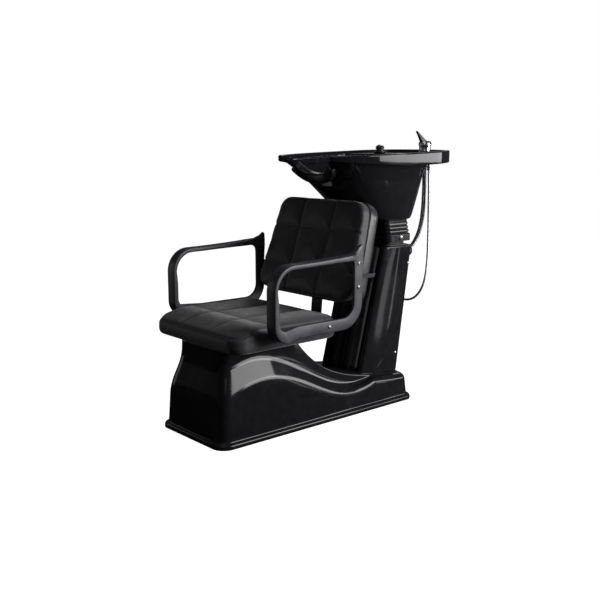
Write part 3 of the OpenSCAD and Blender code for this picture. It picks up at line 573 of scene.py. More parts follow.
# Half outlines from the front middle to the back middle, as x, y and depth below the sloping rim plane.
RIM_PTS = np.array([[0, 608, 84], [52, 605, 78], [86, 592, 48], [118, 536, 6], [146, 520, 0],
                    [194, 584, 0], [228, 690, 0], [240, 800, 0], [240, 926, 0], [230, 1028, 0],
                    [188, 1104, 0], [104, 1138, 0], [0, 1146, 0]], float)
BODY_PTS = np.array([[0, 616, 116], [50, 614, 112], [82, 606, 96], [112, 598, 66], [138, 608, 52],
                     [166, 646, 52], [184, 710, 52], [190, 790, 52], [186, 890, 52], [172, 970, 52],
                     [140, 1022, 50], [80, 1046, 48], [0, 1054, 48]], float)
FLOOR_PTS = np.array([[0, 800, 0], [34, 800, 0], [66, 806, 0], [90, 820, 0], [104, 840, 0],
                      [112, 864, 0], [116, 890, 0], [117, 916, 0], [115, 942, 0], [108, 968, 0],
                      [90, 992, 0], [52, 1004, 0], [0, 1008, 0]], float)



def rim_z(y):
    """The rim plane's height: it rises a little towards the back."""
    return mix(947, 966, (y - 520) / 626)


LEDGE_Z = rim_z(1062) - 11      # the top of the ledge under the mixer and the hand shower


def ring_of(half):
    """A closed smooth outline from its +X half."""
    half = np.array(half, float)
    return spline(np.concatenate([half, half[-2:0:-1] * [-1, 1, 1]]), 9, closed=True)


def body_ring(t, spread, shift=0.0):
    """An outline between the bowl's floor (0) and its top (1), moved inward for the inner wall."""
    out = []
    for top, low in zip(BODY_PTS, FLOOR_PTS):
        tx, ty = top[0] * (1 - shift / 190), top[1] + (850 - top[1]) * shift / 300
        tz = rim_z(top[1]) - top[2]
        lx, ly = low[0] * (1 - shift / 190), low[1] + (910 - low[1]) * shift / 110
        lz = 700 + (7 if shift else 0)
        out.append([mix(lx, tx, spread), mix(ly, ty, spread), mix(lz, tz, t)])
    return ring_of(out)


def rim_band(y):
    """How deep the rim's outer face is."""
    return mix(24, 48, min(1, max(0, (y - 520) / 320)))


def rim_ring(inset, drop):
    out = []
    for p in RIM_PTS:
        d = math.hypot(p[0], p[1] - 830)
        fall = rim_band(p[1]) * (0.4 if p[2] > 30 else 1) + drop + 5 if drop < 0 else drop
        out.append([p[0] * (1 - inset / d), 830 + (p[1] - 830) * (1 - inset / d), rim_z(p[1]) - p[2] - fall])
    return ring_of(out)


def mouth_ring(drop):
    out = []
    for i, p in enumerate(RIM_PTS):
        rear = max(0, (p[1] - 930) / 216)
        y = p[1] + 8 if i < 4 else p[1] + 16 if i < 6 else p[1] - 124 * rear
        out.append([p[0] * (1 - 16 / max(p[0], 60)) * (1 - 0.24 * rear), y, rim_z(y) - p[2] - drop])
    return ring_of(out)


def under_body_ring():
    return ring_of([[p[0] * 1.012, p[1] + (2 if p[1] > 850 else 0),
                     rim_z(p[1]) - (p[2] - 2 if p[2] > 60 else 20)] for p in BODY_PTS])


def under_band_ring(drop):
    out = []
    for i, p in enumerate(RIM_PTS):
        d = math.hypot(p[0], p[1] - 830)
        k = 1 - (5 if i < 4 else 11) / d
        fall = p[2] + rim_band(p[1]) * 0.4 - 6 if i < 4 else drop
        out.append([p[0] * k, 830 + (p[1] - 830) * k, rim_z(p[1]) - fall])
    return ring_of(out)


def drain_ring(z):
    a = np.radians(np.linspace(-90, 90, 13))
    return ring_of(np.column_stack([24 * np.cos(a), 936 + 24 * np.sin(a), np.full(13, float(z))]))


rings = [drain_ring(700), body_ring(0, 0), body_ring(0.06, 0.12), body_ring(0.3, 0.36), body_ring(0.65, 0.68),
         body_ring(1, 1), under_body_ring(), under_band_ring(20), rim_ring(7, -5), rim_ring(0, -9),
         rim_ring(0, 3),
         rim_ring(3, 0), rim_ring(12, 1), rim_ring(17, 12), mouth_ring(12), mouth_ring(22),
         body_ring(0.66, 0.7, 7), body_ring(0.32, 0.4, 7), body_ring(0.08, 0.16, 7), body_ring(0, 0, 11),
         drain_ring(704)]
rings = fillet_rings(rings, [0, 10, 60, 60, 60, 9, 3, 5, 2, 2.5, 3, 3, 3, 5, 9, 9, 60, 60, 60, 20, 0])
verts, faces = loft(rings, loop=True)
basin = make("basin_moulding", metres(verts), faces, "basin", "basin_gloss", ["basin"], 180)


def cut_holes(piece, holes):
    """Cuts round holes through a piece; each hole is (x, y, z0, z1, radius) in mm."""
    parts = []
    for x, y, z0, z1, r in holes:
        c = circle(r, 48)
        parts.append((metres(loft([np.column_stack([c + [x, y], np.full(48, z)]) for z in (z0, z1)])[0]),
                      loft([c, c], cap=True)[1]))
    v, f = joined(parts)
    mesh = bpy.data.meshes.new("cutter")
    mesh.from_pydata([tuple(p) for p in v], [], f)
    bm = bmesh.new()
    bm.from_mesh(mesh)
    bmesh.ops.recalc_face_normals(bm, faces=bm.faces)
    bm.to_mesh(mesh)
    bm.free()
    cutter = bpy.data.objects.new("cutter", mesh)
    COLLECTION.objects.link(cutter)
    modified(piece, "BOOLEAN", object=cutter, operation="DIFFERENCE", solver="EXACT")
    bpy.data.objects.remove(cutter)


cut_holes(basin, [(100, 1062, 800, 1000, 12.5), (-128, 1046, 800, 1000, 19)])
basin.data.set_sharp_from_angle(angle=math.radians(50))


# ---- Pieces softened from their CAD shapes ----

FLAT, EDGE, CRISP = math.radians(4), math.radians(30), math.radians(44)


def softened(node_name, width, segments):
    """A copy of a CAD piece with its edges rounded, as moulding and forming leave them.

    Faces within FLAT merge, edges past EDGE are bevelled, and what is still past CRISP stays sharp.
    """
    mesh = NODES[node_name].data.copy()
    bm = bmesh.new()
    bm.from_mesh(mesh)
    bmesh.ops.remove_doubles(bm, verts=bm.verts, dist=1e-5)
    bmesh.ops.dissolve_limit(bm, angle_limit=FLAT, verts=bm.verts, edges=bm.edges)
    bm.to_mesh(mesh)
    bm.free()
    piece = adopt(f"{node_name}_softened", mesh, BODY_OF[node_name], SLOT_OF[node_name], [node_name], 30)
    modified(piece, "BEVEL", width=width, segments=segments, limit_method="ANGLE", angle_limit=EDGE,
             use_clamp_overlap=True)
    piece.data.shade_smooth()
    piece.data.set_sharp_from_angle(angle=CRISP)
    modified(piece, "WEIGHTED_NORMAL", keep_sharp=True)


for node_name, width, segments in (
        ("back_support", 0.0015, 2), ("back_brackets", 0.0008, 2), ("seat_mount_plate", 0.0012, 2),
        ("seat_pan", 0.0015, 2), ("shower_holder", 0.0012, 3), ("drain_flange", 0.0008, 3),
        ("hair_strainer", 0.0005, 2), ("hose_grommet", 0.0006, 2), ("pivot_bolts", 0.0006, 2),
        ("cover_screws", 0.0004, 2), ("armrest_screws", 0.0004, 2)):
    softened(node_name, width, segments)


# ---- Column ----

# The curved seam between the column's two shells, as y and z.
SEAM = np.array([[932, 600], [928, 540], [922, 470], [912, 400], [895, 320], [866, 240], [828, 175],
                 [786, 131]], float)
SEAM_LINE = spline(SEAM, 8)


def seam_y(z):
    return np.interp(z, SEAM_LINE[::-1, 1], SEAM_LINE[::-1, 0])


def column_front_y(z):
    return 704 + (z - 110) * 127 / 490


def column_rear_y(z):
    return 919 + (z - 110) * 73 / 490


def standing(place, levels):
    """Rings of a column skin: place(z) gives its outline at a height, and each point starts on the deck."""
    first = place(130.0)
    foot = first.copy()
    for _ in range(30):
        z = top_z(foot[:, 1]) + 0.4
        foot = np.array([place(float(zz))[i] for i, zz in enumerate(z)])
    z0 = top_z(foot[:, 1]) + 0.4
    rings = []
    for t in levels:
        z = z0 + (COLUMN_TOP - z0) * t
        pts = np.array([place(float(zz))[i] for i, zz in enumerate(z)])
        rings.append(np.column_stack([pts, z]))
    return rings


# The front shell's face: a deep channel in the middle, then a rounded wing. WING_END is its last point.
WING_END = (116.3, 28)
WING = spline([[0, 60, 0], [24, 60, 0], [40, 58, 0], [48, 50, 0], [53, 38, 0], [62, 26, 0], [78, 14, 0],
               [94, 5, 0], [102, 2, 0], [108, 4.5, 0], [112, 10, 0], [114.5, 18, 0], [*WING_END, 0]],
              4)[:, :2]


def front_outline(z):
    start = column_front_y(z)
    half = [[x, start + y] for x, y in WING]
    half += [[WING_END[0] + 7 * math.sin(math.pi * 0.62 * k / 14),
              mix(start + WING_END[1], seam_y(z) - 1, k / 14)] for k in range(1, 15)]
    half = np.array(half)
    return np.concatenate([half[:0:-1] * [-1, 1], half])


def rear_outline(z):
    a, b, r = seam_y(z) + 1, column_rear_y(z), 36.0
    w = COLUMN_HALF
    half = [[x, b] for x in np.linspace(0, w - r, 6)[:-1]]
    half += [[w - r + r * math.cos(t), b - r + r * math.sin(t)] for t in np.linspace(math.pi / 2, 0, 12)]
    end = min(a, b - r - 2)
    half += [[w, mix(b - r, end, k / 8)] for k in range(1, 9)]
    half = np.array(half)
    return np.concatenate([half[:0:-1] * [-1, 1], half])


def skin_of(name, outline, node_name):
    """A column shell: its skin from the deck to a flat top, with a rounded top edge, given its wall."""
    rings = standing(outline, np.linspace(0, 1, 40))
    top_ring = rings[-1]
    centre = np.array([0, 915.0, COLUMN_TOP])
    rings = fillet_rings(rings + [centre + (top_ring - centre) * 0.80], [0] * 39 + [4, 0])
    row = len(rings[0])
    piece = make(name, metres(np.concatenate(rings)), grid_faces(len(rings), row, closed=False), "stand",
                 "base_gloss", [node_name], 180)
    side_face = piece.data.polygons[row * 20]
    inward = 1 if side_face.normal.x * side_face.center.x < 0 else -1
    modified(piece, "SOLIDIFY", thickness=0.004, offset=inward)
    piece.data.set_sharp_from_angle(angle=math.radians(60))


skin_of("column_front", front_outline, "column_shell")
skin_of("column_rear", rear_outline, "column_cover")

# The raised lip along the seam, on both sides.
parts = []
for side in (-1, 1):
    lip = spline([[side * 119.0, y, z] for y, z in SEAM[:-1]] + [[side * 119.0, 789, 136]], 10)
    parts.append(loft(sweep_rings(lip, circle(5.2, 14), (1, 0, 0)), cap=True))
verts, faces = joined(parts)
make("column_seam_lip", metres(verts), faces, "stand", "base_gloss", angle=60)


def neck_ring(width, length, radius, z):
    """A level rounded rectangle round the neck's middle."""
    return np.column_stack([soft_square(width, length, radius, 8) + [0, NECK_Y], np.full(36, float(z))])


# Neck boot: a ribbed rubber skirt between the column's top and the basin's collar.
ribs = []
for z, grow in ((600, 12), (603, 12), (604.5, 0), (606.5, -8), (609.5, 2), (613, -8), (616.5, 2),
                (620, -9), (622, -10)):
    ribs.append(neck_ring(194 + grow, 104 + grow, 22, z))
inner = [neck_ring(178, 88, 18, z) for z in (622.0, 600.0)]
rings = fillet_rings(ribs + inner, [0, 2, 2, 3, 3, 3, 3, 3, 2, 2, 0], 4)
verts, faces = loft(rings, loop=True)
make("neck_boot_ribbed", metres(verts), faces, "stand", "black_rubber", ["neck_boot"], 180)


# Collar under the bowl: a plain band for the pivot bolts, then ribs that narrow towards the bowl. Its
# outer skin goes up and its inner skin comes down.
COLLAR_SIZES = ((113, 70, 617), (113, 70, 643), (109, 67, 646), (104, 65.5, 648), (108.5, 67.5, 652),
                (107.5, 67.5, 659), (101.5, 65.5, 662), (106, 67, 666), (105, 67, 673), (99, 65, 676),
                (103, 66.5, 680), (101.5, 66.5, 688), (98, 65.5, 691), (99, 66, 699),
                (95, 62, 699), (95, 62, 650), (109, 66, 643), (109, 66, 617))
rings = [neck_ring(2 * w, 2 * l, 26, z) for w, l, z in COLLAR_SIZES]
rings = fillet_rings(rings, [0, 1.5, 1, 1.2, 2, 2, 1.2, 2, 2, 1.2, 2, 2, 1, 0, 0, 0, 0, 0], 4)
verts, faces = loft(rings, loop=True)
make("neck_collar", metres(verts), faces, "basin", "shell_plastic", ["basin_collar"], 50, COLLAR)


# ---- Neck rest ----

NOTCH = [[-98, 578, 910], [-90, 590, 896], [-74, 600, 882], [-52, 607, 871], [-26, 610, 866], [0, 611, 864],
         [26, 610, 866], [52, 607, 871], [74, 600, 882], [90, 590, 896], [98, 578, 910]]
path = evenly(spline([[x, y - 18, z] for x, y, z in NOTCH], 8), 3.0)
pad = soft_square(37, 37, 10, 6)
total = len(path) - 1


def rest_section(i):
    """The pad's section, closing to a rounded end at both tips."""
    end = min(i, total - i) / 2.5
    return pad * math.sqrt(max(0.0, 1 - (1 - min(1, end + 0.35)) ** 2))


verts, faces = loft(sweep_rings(path, rest_section, (0, 1, 0.2)), cap=True)
make("neck_rest_pad", metres(verts), faces, "basin", "black_rubber", ["neck_rest"], 60, REST)


# ---- Cushions ----

CLOTH_FRAMES = 20
CLOTH = {"quality": 5, "mass": 0.3, "tension_stiffness": 22, "compression_stiffness": 22,
         "shear_stiffness": 8, "bending_stiffness": 1.2, "use_pressure": True, "vertex_group_mass": "pin"}


def cloth_panel(name, verts, faces, pinned, voxel, pressure, cap, sink):
    """A padded form: remeshed, its seams pinned and sunk, blown up as cloth and capped."""
    piece = make(name, verts, faces, None, "seat_leather", angle=180)
    modified(piece, "REMESH", mode="VOXEL", voxel_size=voxel, use_smooth_shade=True)
    co = points_of(piece.data)
    normals = np.array([v.normal for v in piece.data.vertices])
    hold, depth = pinned(co, normals)
    co = co - normals * (depth * sink)[:, None]
    set_points(piece.data, co)
    group = piece.vertex_groups.new(name="pin")
    for i in np.nonzero(hold > 0.01)[0]:
        group.add([int(i)], float(hold[i]), "REPLACE")
    cloth = piece.modifiers.new("cloth", "CLOTH")
    for key, value in CLOTH.items():
        setattr(cloth.settings, key, value)
    cloth.settings.uniform_pressure_force = pressure
    cloth.settings.effector_weights.gravity = 0
    cloth.point_cache.frame_start = 1
    cloth.point_cache.frame_end = CLOTH_FRAMES
    for f in range(1, CLOTH_FRAMES + 1):
        SCENE.frame_set(f)
    graph = bpy.context.evaluated_depsgraph_get()
    bulged = points_of(piece.evaluated_get(graph).to_mesh())
    piece.evaluated_get(graph).to_mesh_clear()
    piece.modifiers.clear()
    SCENE.frame_set(1)
    moved = bulged - co
    far = np.linalg.norm(moved, axis=1, keepdims=True)
    set_points(piece.data, co + moved * np.minimum(1, cap / np.maximum(far, 1e-9)))
    piece.vertex_groups.clear()
    return piece


def finish_pad(piece, node_name):
    """Rounds a pad's mesh once more and puts it on the stand in place of its CAD piece."""
    modified(piece, "SUBSURF", levels=1, render_levels=1)
    piece.data.shade_smooth()
    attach(piece, "stand")
    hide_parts(node_name)


def slab_rings(half_w, y0, y1, r, profile):
    """Rings of a soft slab: a rounded plan, pulled in by the profile's [inset, z] pairs."""
    out = []
    for inset, z in profile:
        w, f, b, rr = half_w - inset, y0 + inset, y1 - inset, max(r - inset, 10)
        p = soft_square(2 * w, b - f, rr, 8) + [0, (f + b) / 2]
        out.append(np.column_stack([p, np.full(len(p), float(z))]))
    return out


# The seat's seams: two from front to back at +-SEAT_X, one across at each SEAT_Y, and one round the edge.
SEAT_X, SEAT_Y, SEAT_EDGE_Z = 80.0, (175.0,), 400.0
SEAM_HALF = 4.0         # how far a seam draws in the leather on each side
profile = [(9, 329.6), (4, 333), (1, 342), (0, 358), (1, 384), (6, 400), (16, 409), (30, 412)]
verts, faces = loft(slab_rings(247, 19, 479, 58, profile), cap=True)


def seat_pins(co, normals):
    x, y = co[:, 0] * 1000, co[:, 1] * 1000 + MID_Y
    up = normals[:, 2] > 0.45
    line = np.exp(-((np.abs(x) - SEAT_X) / SEAM_HALF) ** 2) * up
    cross = np.zeros(len(co))
    for s in SEAT_Y:
        cross = np.maximum(cross, 0.45 * np.exp(-((y - s) / SEAM_HALF) ** 2) * up)
    edge = 0.8 * np.exp(-((co[:, 2] * 1000 - SEAT_EDGE_Z) / 3.5) ** 2) * (normals[:, 2] < 0.75)
    seam = np.maximum(np.maximum(line, cross), edge)
    below = (normals[:, 2] < -0.5).astype(float)
    return np.clip(np.maximum(seam, below), 0, 1), seam


seat = cloth_panel("seat_pad", metres(verts), faces, seat_pins, 0.0055, 4.2, 0.013, 0.005)


EASE_FROM = 0.94


def soft_box(piece, low, high):
    """Keeps a pad's points inside a box, easing them rather than clipping flat."""
    co = points_of(piece.data)
    middle, half = (np.array(low) + high) / 2, (np.array(high) - low) / 2
    off = (co - middle) / half
    size, room = np.abs(off), 1 - EASE_FROM
    eased = np.where(size > EASE_FROM, EASE_FROM + room * np.tanh((size - EASE_FROM) / room), size)
    set_points(piece.data, middle + np.sign(off) * eased * half)


# Puckers gather along the seat's top side edges, the seat leans back a little and its front rolls down.
PUCKER_PITCH, PUCKER_OUT, PUCKER_UP = 13.0, 0.0016, 0.0012
SEAT_SLOPE = math.tan(math.radians(1.6)) * 0.6
FRONT_DROP = 0.024
co = points_of(seat.data)
y_mm = co[:, 1] * 1000 + MID_Y
side = step(0.200, 0.240, np.abs(co[:, 0])) * step(0.345, 0.385, co[:, 2])
side *= step(200, 250, y_mm) * (1 - step(400, 440, y_mm))
turn = y_mm * 2 * math.pi / PUCKER_PITCH
co[:, 0] += np.sign(co[:, 0]) * side * PUCKER_OUT * np.sin(turn)
co[:, 2] += side * PUCKER_UP * np.sin(turn + 1)
height = np.clip(co[:, 2] - 0.335, 0, 0.1) / 0.08
co[:, 2] -= height * (y_mm - 13) * SEAT_SLOPE / 1000
co[:, 2] -= height * FRONT_DROP * (1 - step(16, 135, y_mm))
set_points(seat.data, co)
modified(seat, "SMOOTH", factor=0.5, iterations=2)
low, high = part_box("seat_cushion")
soft_box(seat, np.array(low) + 0.0005, np.array(high) + [0.002, 0.0, 0.006])
finish_pad(seat, "seat_cushion")

# Back quilt, made flat in its own frame (y back from its mounting line, z up from its lower edge) and
# then leaned back.
LEAN = math.radians(18)


def on_back(points):
    p = np.array(points, float)
    x, y, z = p[:, 0], p[:, 1], p[:, 2]
    return np.column_stack([x, (512 - MID_Y) / 1000 + y * math.cos(LEAN) + z * math.sin(LEAN),
                            0.438 - y * math.sin(LEAN) + z * math.cos(LEAN)])


def back_outline(inset):
    r = 58 - inset
    out = []
    for cx, cz, a0 in ((236 - inset - r, 371 - inset - r, 0), (-(236 - inset - r), 371 - inset - r, 90),
                       (-(261 - inset - r), inset + r, 180), (261 - inset - r, inset + r, 270)):
        for k in range(9):
            a = math.radians(a0 + 90 * k / 8)
            out.append([cx + r * math.cos(a), cz + r * math.sin(a)])
    return np.array(out)


rings = []
for inset, y in ((28, 43.5), (14, 42), (9, 34), (6, 8), (6, -10), (10, -18), (22, -22)):
    o = back_outline(inset)
    rings.append(np.column_stack([o[:, 0], np.full(len(o), float(y)), o[:, 1]]) / 1000)
verts, faces = loft(rings, cap=True)
BACK_X, BACK_Z = 84.0, (106.0, 251.0)


def back_pins(co, normals):
    x, z = co[:, 0] * 1000, co[:, 2] * 1000
    front = (normals[:, 1] < -0.3)
    seam = np.exp(-((np.abs(x) - BACK_X) / SEAM_HALF) ** 2) * front
    for s in BACK_Z:
        seam = np.maximum(seam, np.exp(-((z - s) / SEAM_HALF) ** 2) * front)
    behind = (co[:, 1] > 0.038).astype(float)
    return np.clip(np.maximum(seam, behind), 0, 1), seam


back = cloth_panel("back_quilt", verts, faces, back_pins, 0.005, 4.5, 0.010, 0.006)
modified(back, "SMOOTH", factor=0.5, iterations=2)
co = points_of(back.data)
co[:, 1] = np.clip(co[:, 1], -0.031, 0.0445)
co[:, 2] = np.clip(co[:, 2], 0.0, 0.373)
set_points(back.data, on_back(co))
finish_pad(back, "back_cushion")


# Backrest shell: a smooth moulded tray behind the quilt, its lip showing round the leather.
rings = []
for inset, y in ((17, 25), (13, 18.5), (7, 16.5), (2, 20), (0.5, 32), (1.5, 50), (6, 61), (14, 68.5),
                 (28, 72), (80, 72.3)):
    o = back_outline(min(inset, 40))
    if inset > 40:
        o = (o - [0, 185]) * 0.8 + [0, 185]
    rings.append(np.column_stack([o[:, 0], np.full(len(o), float(y)), o[:, 1]]) / 1000)
rings = fillet_rings(rings, [0, 0.002, 0.003, 0.004, 0.006, 0.008, 0.008, 0.008, 0.01, 0], 3)
verts, faces = loft(rings, cap=True)
make("backrest_shell", on_back(verts), faces, "stand", "shell_plastic", ["back_shell"], 60)


def surface_line(piece, starts, direction, lift):
    """Points where rays from starts meet the piece, lifted off its surface."""
    graph = bpy.context.evaluated_depsgraph_get()
    graph.update()
    found = []
    for s in starts:
        hit, at, normal, _ = piece.ray_cast(Vector(s), Vector(direction))
        if hit:
            found.append(np.array(at + normal * lift))
    return found


STITCH_RADIUS, STITCH_LONG, STITCH_GAP = 0.00045, 0.0042, 0.0022


def stitches(name, lines):
    """Rows of short thread stitches along lines on a pad."""
    parts = []
    ring = circle(STITCH_RADIUS, 6)
    fat = [0.45, 0.9, 1.0, 0.9, 0.45]
    for line in lines:
        if len(line) < 2:
            continue
        p = evenly(line, 0.0016)
        along = np.concatenate([[0], np.cumsum(np.linalg.norm(np.diff(p, axis=0), axis=1))])
        at = 0.0
        while at + STITCH_LONG < along[-1]:
            t = np.linspace(at, at + STITCH_LONG, 5)
            seg = np.stack([np.interp(t, along, p[:, i]) for i in range(3)], axis=1)
            d = seg[-1] - seg[0]
            side = (1, 0, 0) if abs(d[0]) < abs(d[1]) + abs(d[2]) else (0, 1, 0)
            parts.append(loft(sweep_rings(seg, lambda i: ring * fat[i], side), cap=True))
            at += STITCH_LONG + STITCH_GAP
    v, f = joined(parts)
    make(name, v, f, "stand", "seat_leather", angle=180, look=THREAD)


# A row of stitches runs on each side of every seam.
DOWN, LIFT = (0, 0, -1), 0.0001
ABOVE = 500
seat_lines = []
for x in (-SEAT_X, SEAT_X):
    for off in (-3.4, 3.4):
        starts = metres([[x + off, y, ABOVE] for y in np.linspace(34, 468, 120)])
        seat_lines.append(surface_line(seat, starts, DOWN, LIFT))
for y in SEAT_Y:
    for off in (-3.4, 3.4):
        starts = metres([[x, y + off, ABOVE] for x in np.linspace(-236, 236, 120)])
        seat_lines.append(surface_line(seat, starts, DOWN, LIFT))
stitches("seat_stitching", seat_lines)
back_lines = []
toward = on_back([[0, 1, 0]])[0] - on_back([[0, 0, 0]])[0]
for x in (-BACK_X, BACK_X):
    for off in (-3.2, 3.2):
        starts = on_back([[(x + off) / 1000, -0.05, z / 1000] for z in np.linspace(12, 360, 110)])
        back_lines.append(surface_line(back, starts, toward, LIFT))
for z in BACK_Z:
    for off in (-3.2, 3.2):
        starts = on_back([[x / 1000, -0.05, (z + off) / 1000] for x in np.linspace(-238, 238, 120)])
        back_lines.append(surface_line(back, starts, toward, LIFT))
stitches("back_stitching", back_lines)


# ---- Armrests ----

def arc(c, r, a0, a1, n):
    a = np.radians(np.linspace(a0, a1, n))
    return np.column_stack([c[0] + r * np.cos(a), c[1] + r * np.sin(a)])


# The loop's outer and inner outlines, as y and z, point for point.
outer = np.concatenate([[[380, 359.2], [320, 359.5], [250, 360]], arc((187, 420), 60, 270, 180, 12),
                        [[127, 450], [127, 490]], arc((211, 528), 84, 180, 90, 14),
                        [[260, 612.5], [320, 614], [400, 617], [450, 619.5], [480, 621.5]],
                        [[506, 627], [528, 638], [543, 648.6], [549.5, 644], [551.5, 622], [552, 600],
                         [548, 540], [548, 500]], arc((457, 450), 91, 0, -90, 12)])
inner = np.concatenate([[[380, 400.5], [320, 401], [250, 401.5]], arc((173, 429), 27, 270, 180, 12),
                        [[146, 450], [146, 490]], arc((211, 528), 69, 180, 90, 14),
                        [[260, 597.5], [320, 599], [400, 600.5], [450, 601], [486, 601.5]],
                        [[494, 600], [500, 596], [504, 592], [506.5, 586], [507.5, 578], [508, 568],
                         [508, 540], [508, 500]], arc((458, 450), 50, 0, -90, 12)])
n_st = len(outer)
wide = np.zeros(n_st)
for i in range(n_st):
    y, z = (outer[i] + inner[i]) / 2
    if z < 432 and y > 150:
        wide[i] = 1 - step(176, 214, y)
    elif y > 478:
        wide[i] = 1 - step(484, 508, y)
    else:
        wide[i] = 1
ARM_INNER_X, ARM_THIN, ARM_WIDE = 267.5, 11, 45
widths = ARM_THIN + (ARM_WIDE - ARM_THIN) * wide
for side, node_name in ((1, "left_armrest"), (-1, "right_armrest")):
    rings = []
    for o, i, w in zip(outer, inner, widths):
        d = o - i
        t = np.linalg.norm(d)
        d = d / t
        m = (o + i) / 2
        r = min(3.6, w / 2 - 0.4, t / 2 - 0.4)
        s = soft_square(w, t, r, 3)
        ring = [[side * (ARM_INNER_X + w / 2 + a), m[0] + d[0] * b, m[1] + d[1] * b] for a, b in s]
        rings.append(np.array(ring))
    verts, faces = loft(rings, loop=True)
    make(f"{node_name}_moulding", metres(verts), faces, "stand", "arm_plastic", [node_name], 50)


# ---- Mixer tap and hand shower ----

TAP = (100.0, 1062.0, LEDGE_Z)
v, f = lathe([[0, 0], [25, 0], [26, 1.2], [24.5, 4], [19, 6], [0, 6]], TAP, 1.0)
make("mixer_base_turned", v, f, "basin", "chrome", ["mixer_base"])
body_parts = [lathe([[0, 6], [24.6, 6], [25, 7], [24, 9.5], [23.2, 13, 3], [22.6, 22, 3], [23.4, 25],
                     [23.4, 27], [24, 28], [24, 30], [15.2, 30], [15.2, 18], [0, 18]], TAP, 0.7)]
# The threaded shank below the ledge, the side outlet and its elbow.
ridges = [[0, 8]]
for k in range(24):
    z = 7 - k * 2.2
    ridges += [[11, z, 0.3], [10.2, z - 1.1, 0.3]]
ridges += [[10.2, 909 - LEDGE_Z], [0, 909 - LEDGE_Z]]
body_parts.append(lathe(ridges, TAP, 0.3, 40))
body_parts.append(lathe([[0, 0], [5.5, 0], [5.5, 26], [0, 26]], (100, 1062, 915), 0.4, 32, (1, 0, 0)))
body_parts.append(lathe([[0, 0], [6.5, 0], [6.5, 5], [6, 6], [6.5, 7], [6.5, 18], [0, 18]],
                        (124, 1062, 902.5), 0.8, 32))
v, f = joined(body_parts)
make("mixer_body_turned", v, f, "basin", "chrome", ["mixer_body"])
v, f = lathe([[8, 30.3], [24.4, 30.3], [25.5, 31.2], [25.5, 34], [24.6, 40, 3], [21, 45.6, 3], [14, 48.2, 3],
              [9, 48.3], [8.2, 46], [8, 40]], TAP, 0.8)
v, f = joined([(v, f), lathe([[0, 46], [9, 46], [9, 48], [0, 48]], TAP, 0.5)])
make("mixer_cap_turned", v, f, "tap_cap", "chrome", ["mixer_cap"])

# Lever: a wedge, deep where it leaves the cap and pointed at its tip.
RISE = math.radians(33)
reach = np.array([0, -math.cos(RISE), math.sin(RISE)])
down = np.array([0, -math.sin(RISE), -math.cos(RISE)])
root = np.array([100, 1066, LEDGE_Z + 46])
rings = []
for s, w, t, lift in ((-4, 9, 8, 0), (0, 11, 12, 1), (8, 13, 16, 2), (18, 14, 20, 2), (28, 14, 19, 2),
                      (40, 13, 13.5, 1.2), (54, 11, 8, 0.6), (63, 9.5, 5, 0.4), (66, 7, 3, 0.2)):
    sec = soft_square(w, t, min(w, t) * 0.3, 3)
    rings.append([root + reach * s + down * (t / 2 - 4 + lift - b) + np.array([a, 0, 0]) for a, b in sec])
verts, faces = loft(rings, cap=True)
make("mixer_lever_wedge", metres(verts), faces, "tap_lever", "shower_plastic", ["mixer_lever"], 60)

SHOWER_AT = (-128.0, 1046.0, LEDGE_Z)
v, f = lathe([[0, -139], [7.4, -139], [8, -137], [8.5, -120, 6], [10, -80, 10], [11.2, -28, 10], [15.4, 6, 4],
              [15, 14], [0, 14]], SHOWER_AT, 1.0)
make("shower_handle_moulding", v, f, "hand_shower", "shower_plastic", ["shower_handle"])
v, f = lathe([[0, 14], [15, 14], [15.2, 15], [18.4, 16.2, 1.5], [18.2, 21, 3], [14.5, 27.4, 3],
              [9.4, 29.2], [0, 29]], SHOWER_AT, 1.0)
make("shower_head_dome", v, f, "hand_shower", "shower_plastic", ["shower_head"])
softened("spray_face", 0.0005, 2)


# ---- Stage, light and world ----

floor_mesh = bpy.data.meshes.new("floor")
floor_mesh.from_pydata([(-8, -8, 0), (8, -8, 0), (8, 8, 0), (-8, 8, 0)], [], [(0, 1, 2, 3)])
floor = bpy.data.objects.new("floor", floor_mesh)
COLLECTION.objects.link(floor)
# White to the camera, dark to the reflections in the gloss.
m, tree, shader, co = material("floor_paint", (0.035, 0.035, 0.035), 0.8, specular=0.0)
bumped(tree, shader, noise_tex(tree, co, 40, 3), 0.0004, 0.2)
pale = new_node(tree, "ShaderNodeEmission", {"Strength": 0.985})
lit = new_node(tree, "ShaderNodeBsdfDiffuse", {"Color": (0.20, 0.20, 0.20, 1)})
bright = new_node(tree, "ShaderNodeAddShader", {0: pale.outputs["Emission"], 1: lit.outputs["BSDF"]})
choose = new_node(tree, "ShaderNodeMixShader", {
    "Fac": new_node(tree, "ShaderNodeLightPath").outputs["Is Camera Ray"],
    1: shader.outputs["BSDF"], 2: bright.outputs["Shader"]})
tree.links.new(choose.outputs["Shader"], tree.nodes["Material Output"].inputs["Surface"])
floor_mesh.materials.append(m)

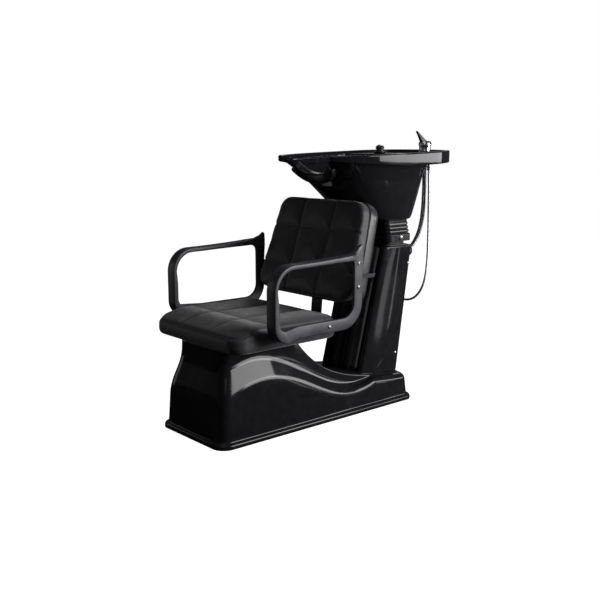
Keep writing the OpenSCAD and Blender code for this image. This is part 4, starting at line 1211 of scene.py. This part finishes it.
world = bpy.data.worlds.new("studio")
SCENE.world = world
world.use_nodes = True
tree = world.node_tree
tree.nodes.clear()
dim = new_node(tree, "ShaderNodeBackground", {"Color": (0.55, 0.56, 0.58, 1), "Strength": 0.10})
white = new_node(tree, "ShaderNodeBackground", {"Color": (1, 1, 1, 1), "Strength": 1.0})
both = new_node(tree, "ShaderNodeMixShader", {
    "Fac": new_node(tree, "ShaderNodeLightPath").outputs["Is Camera Ray"],
    1: dim.outputs["Background"], 2: white.outputs["Background"]})
new_node(tree, "ShaderNodeOutputWorld", {"Surface": both.outputs["Shader"]})


NESTED = 5


def softbox(name, at, look, size, power):
    """A light whose brightness falls off towards its edges: rectangles inside one another."""
    for k in range(NESTED):
        scale = 1.0 - 0.62 * k / NESTED
        data = bpy.data.lights.new(f"{name}_{k}", "AREA")
        data.shape = "RECTANGLE"
        data.size, data.size_y = size[0] * scale, size[1] * scale
        data.energy = power / NESTED
        light = bpy.data.objects.new(f"{name}_{k}", data)
        light.location = at
        light.rotation_euler = (Vector(look) - Vector(at)).to_track_quat("-Z", "Y").to_euler()
        light.visible_camera = False
        COLLECTION.objects.link(light)


softbox("top_box", (0.2, -0.6, 3.2), (0, 0, 0.4), (2.0, 2.0), 38)
softbox("left_box", (-2.6, -1.9, 0.75), (0, 0, 0.4), (0.5, 1.7), 9)
softbox("right_box", (3.3, 1.75, 1.75), (0, 0.1, 0.4), (2.1, 1.4), 290)
softbox("rear_box", (2.75, 2.6, 0.98), (0.1, 0.3, 0.93), (3.2, 0.6), 200)
softbox("back_fill", (-2.3, 2.9, 2.1), (0, 0.1, 0.5), (1.6, 1.4), 42)
softbox("low_strip_wide", (1.26, 0.95, 0.30), (0.12, 0.30, 0.40), (0.12, 0.56), 2.0)
softbox("low_strip_thin", (1.10, 1.16, 0.30), (0.12, 0.30, 0.40), (0.05, 0.56), 1.2)
softbox("front_strip", (2.6, -2.9, 2.4), (0, 0, 0.3), (1.4, 0.5), 12)

SCENE.view_settings.view_transform = "Standard"
SCENE.view_settings.look = "None"
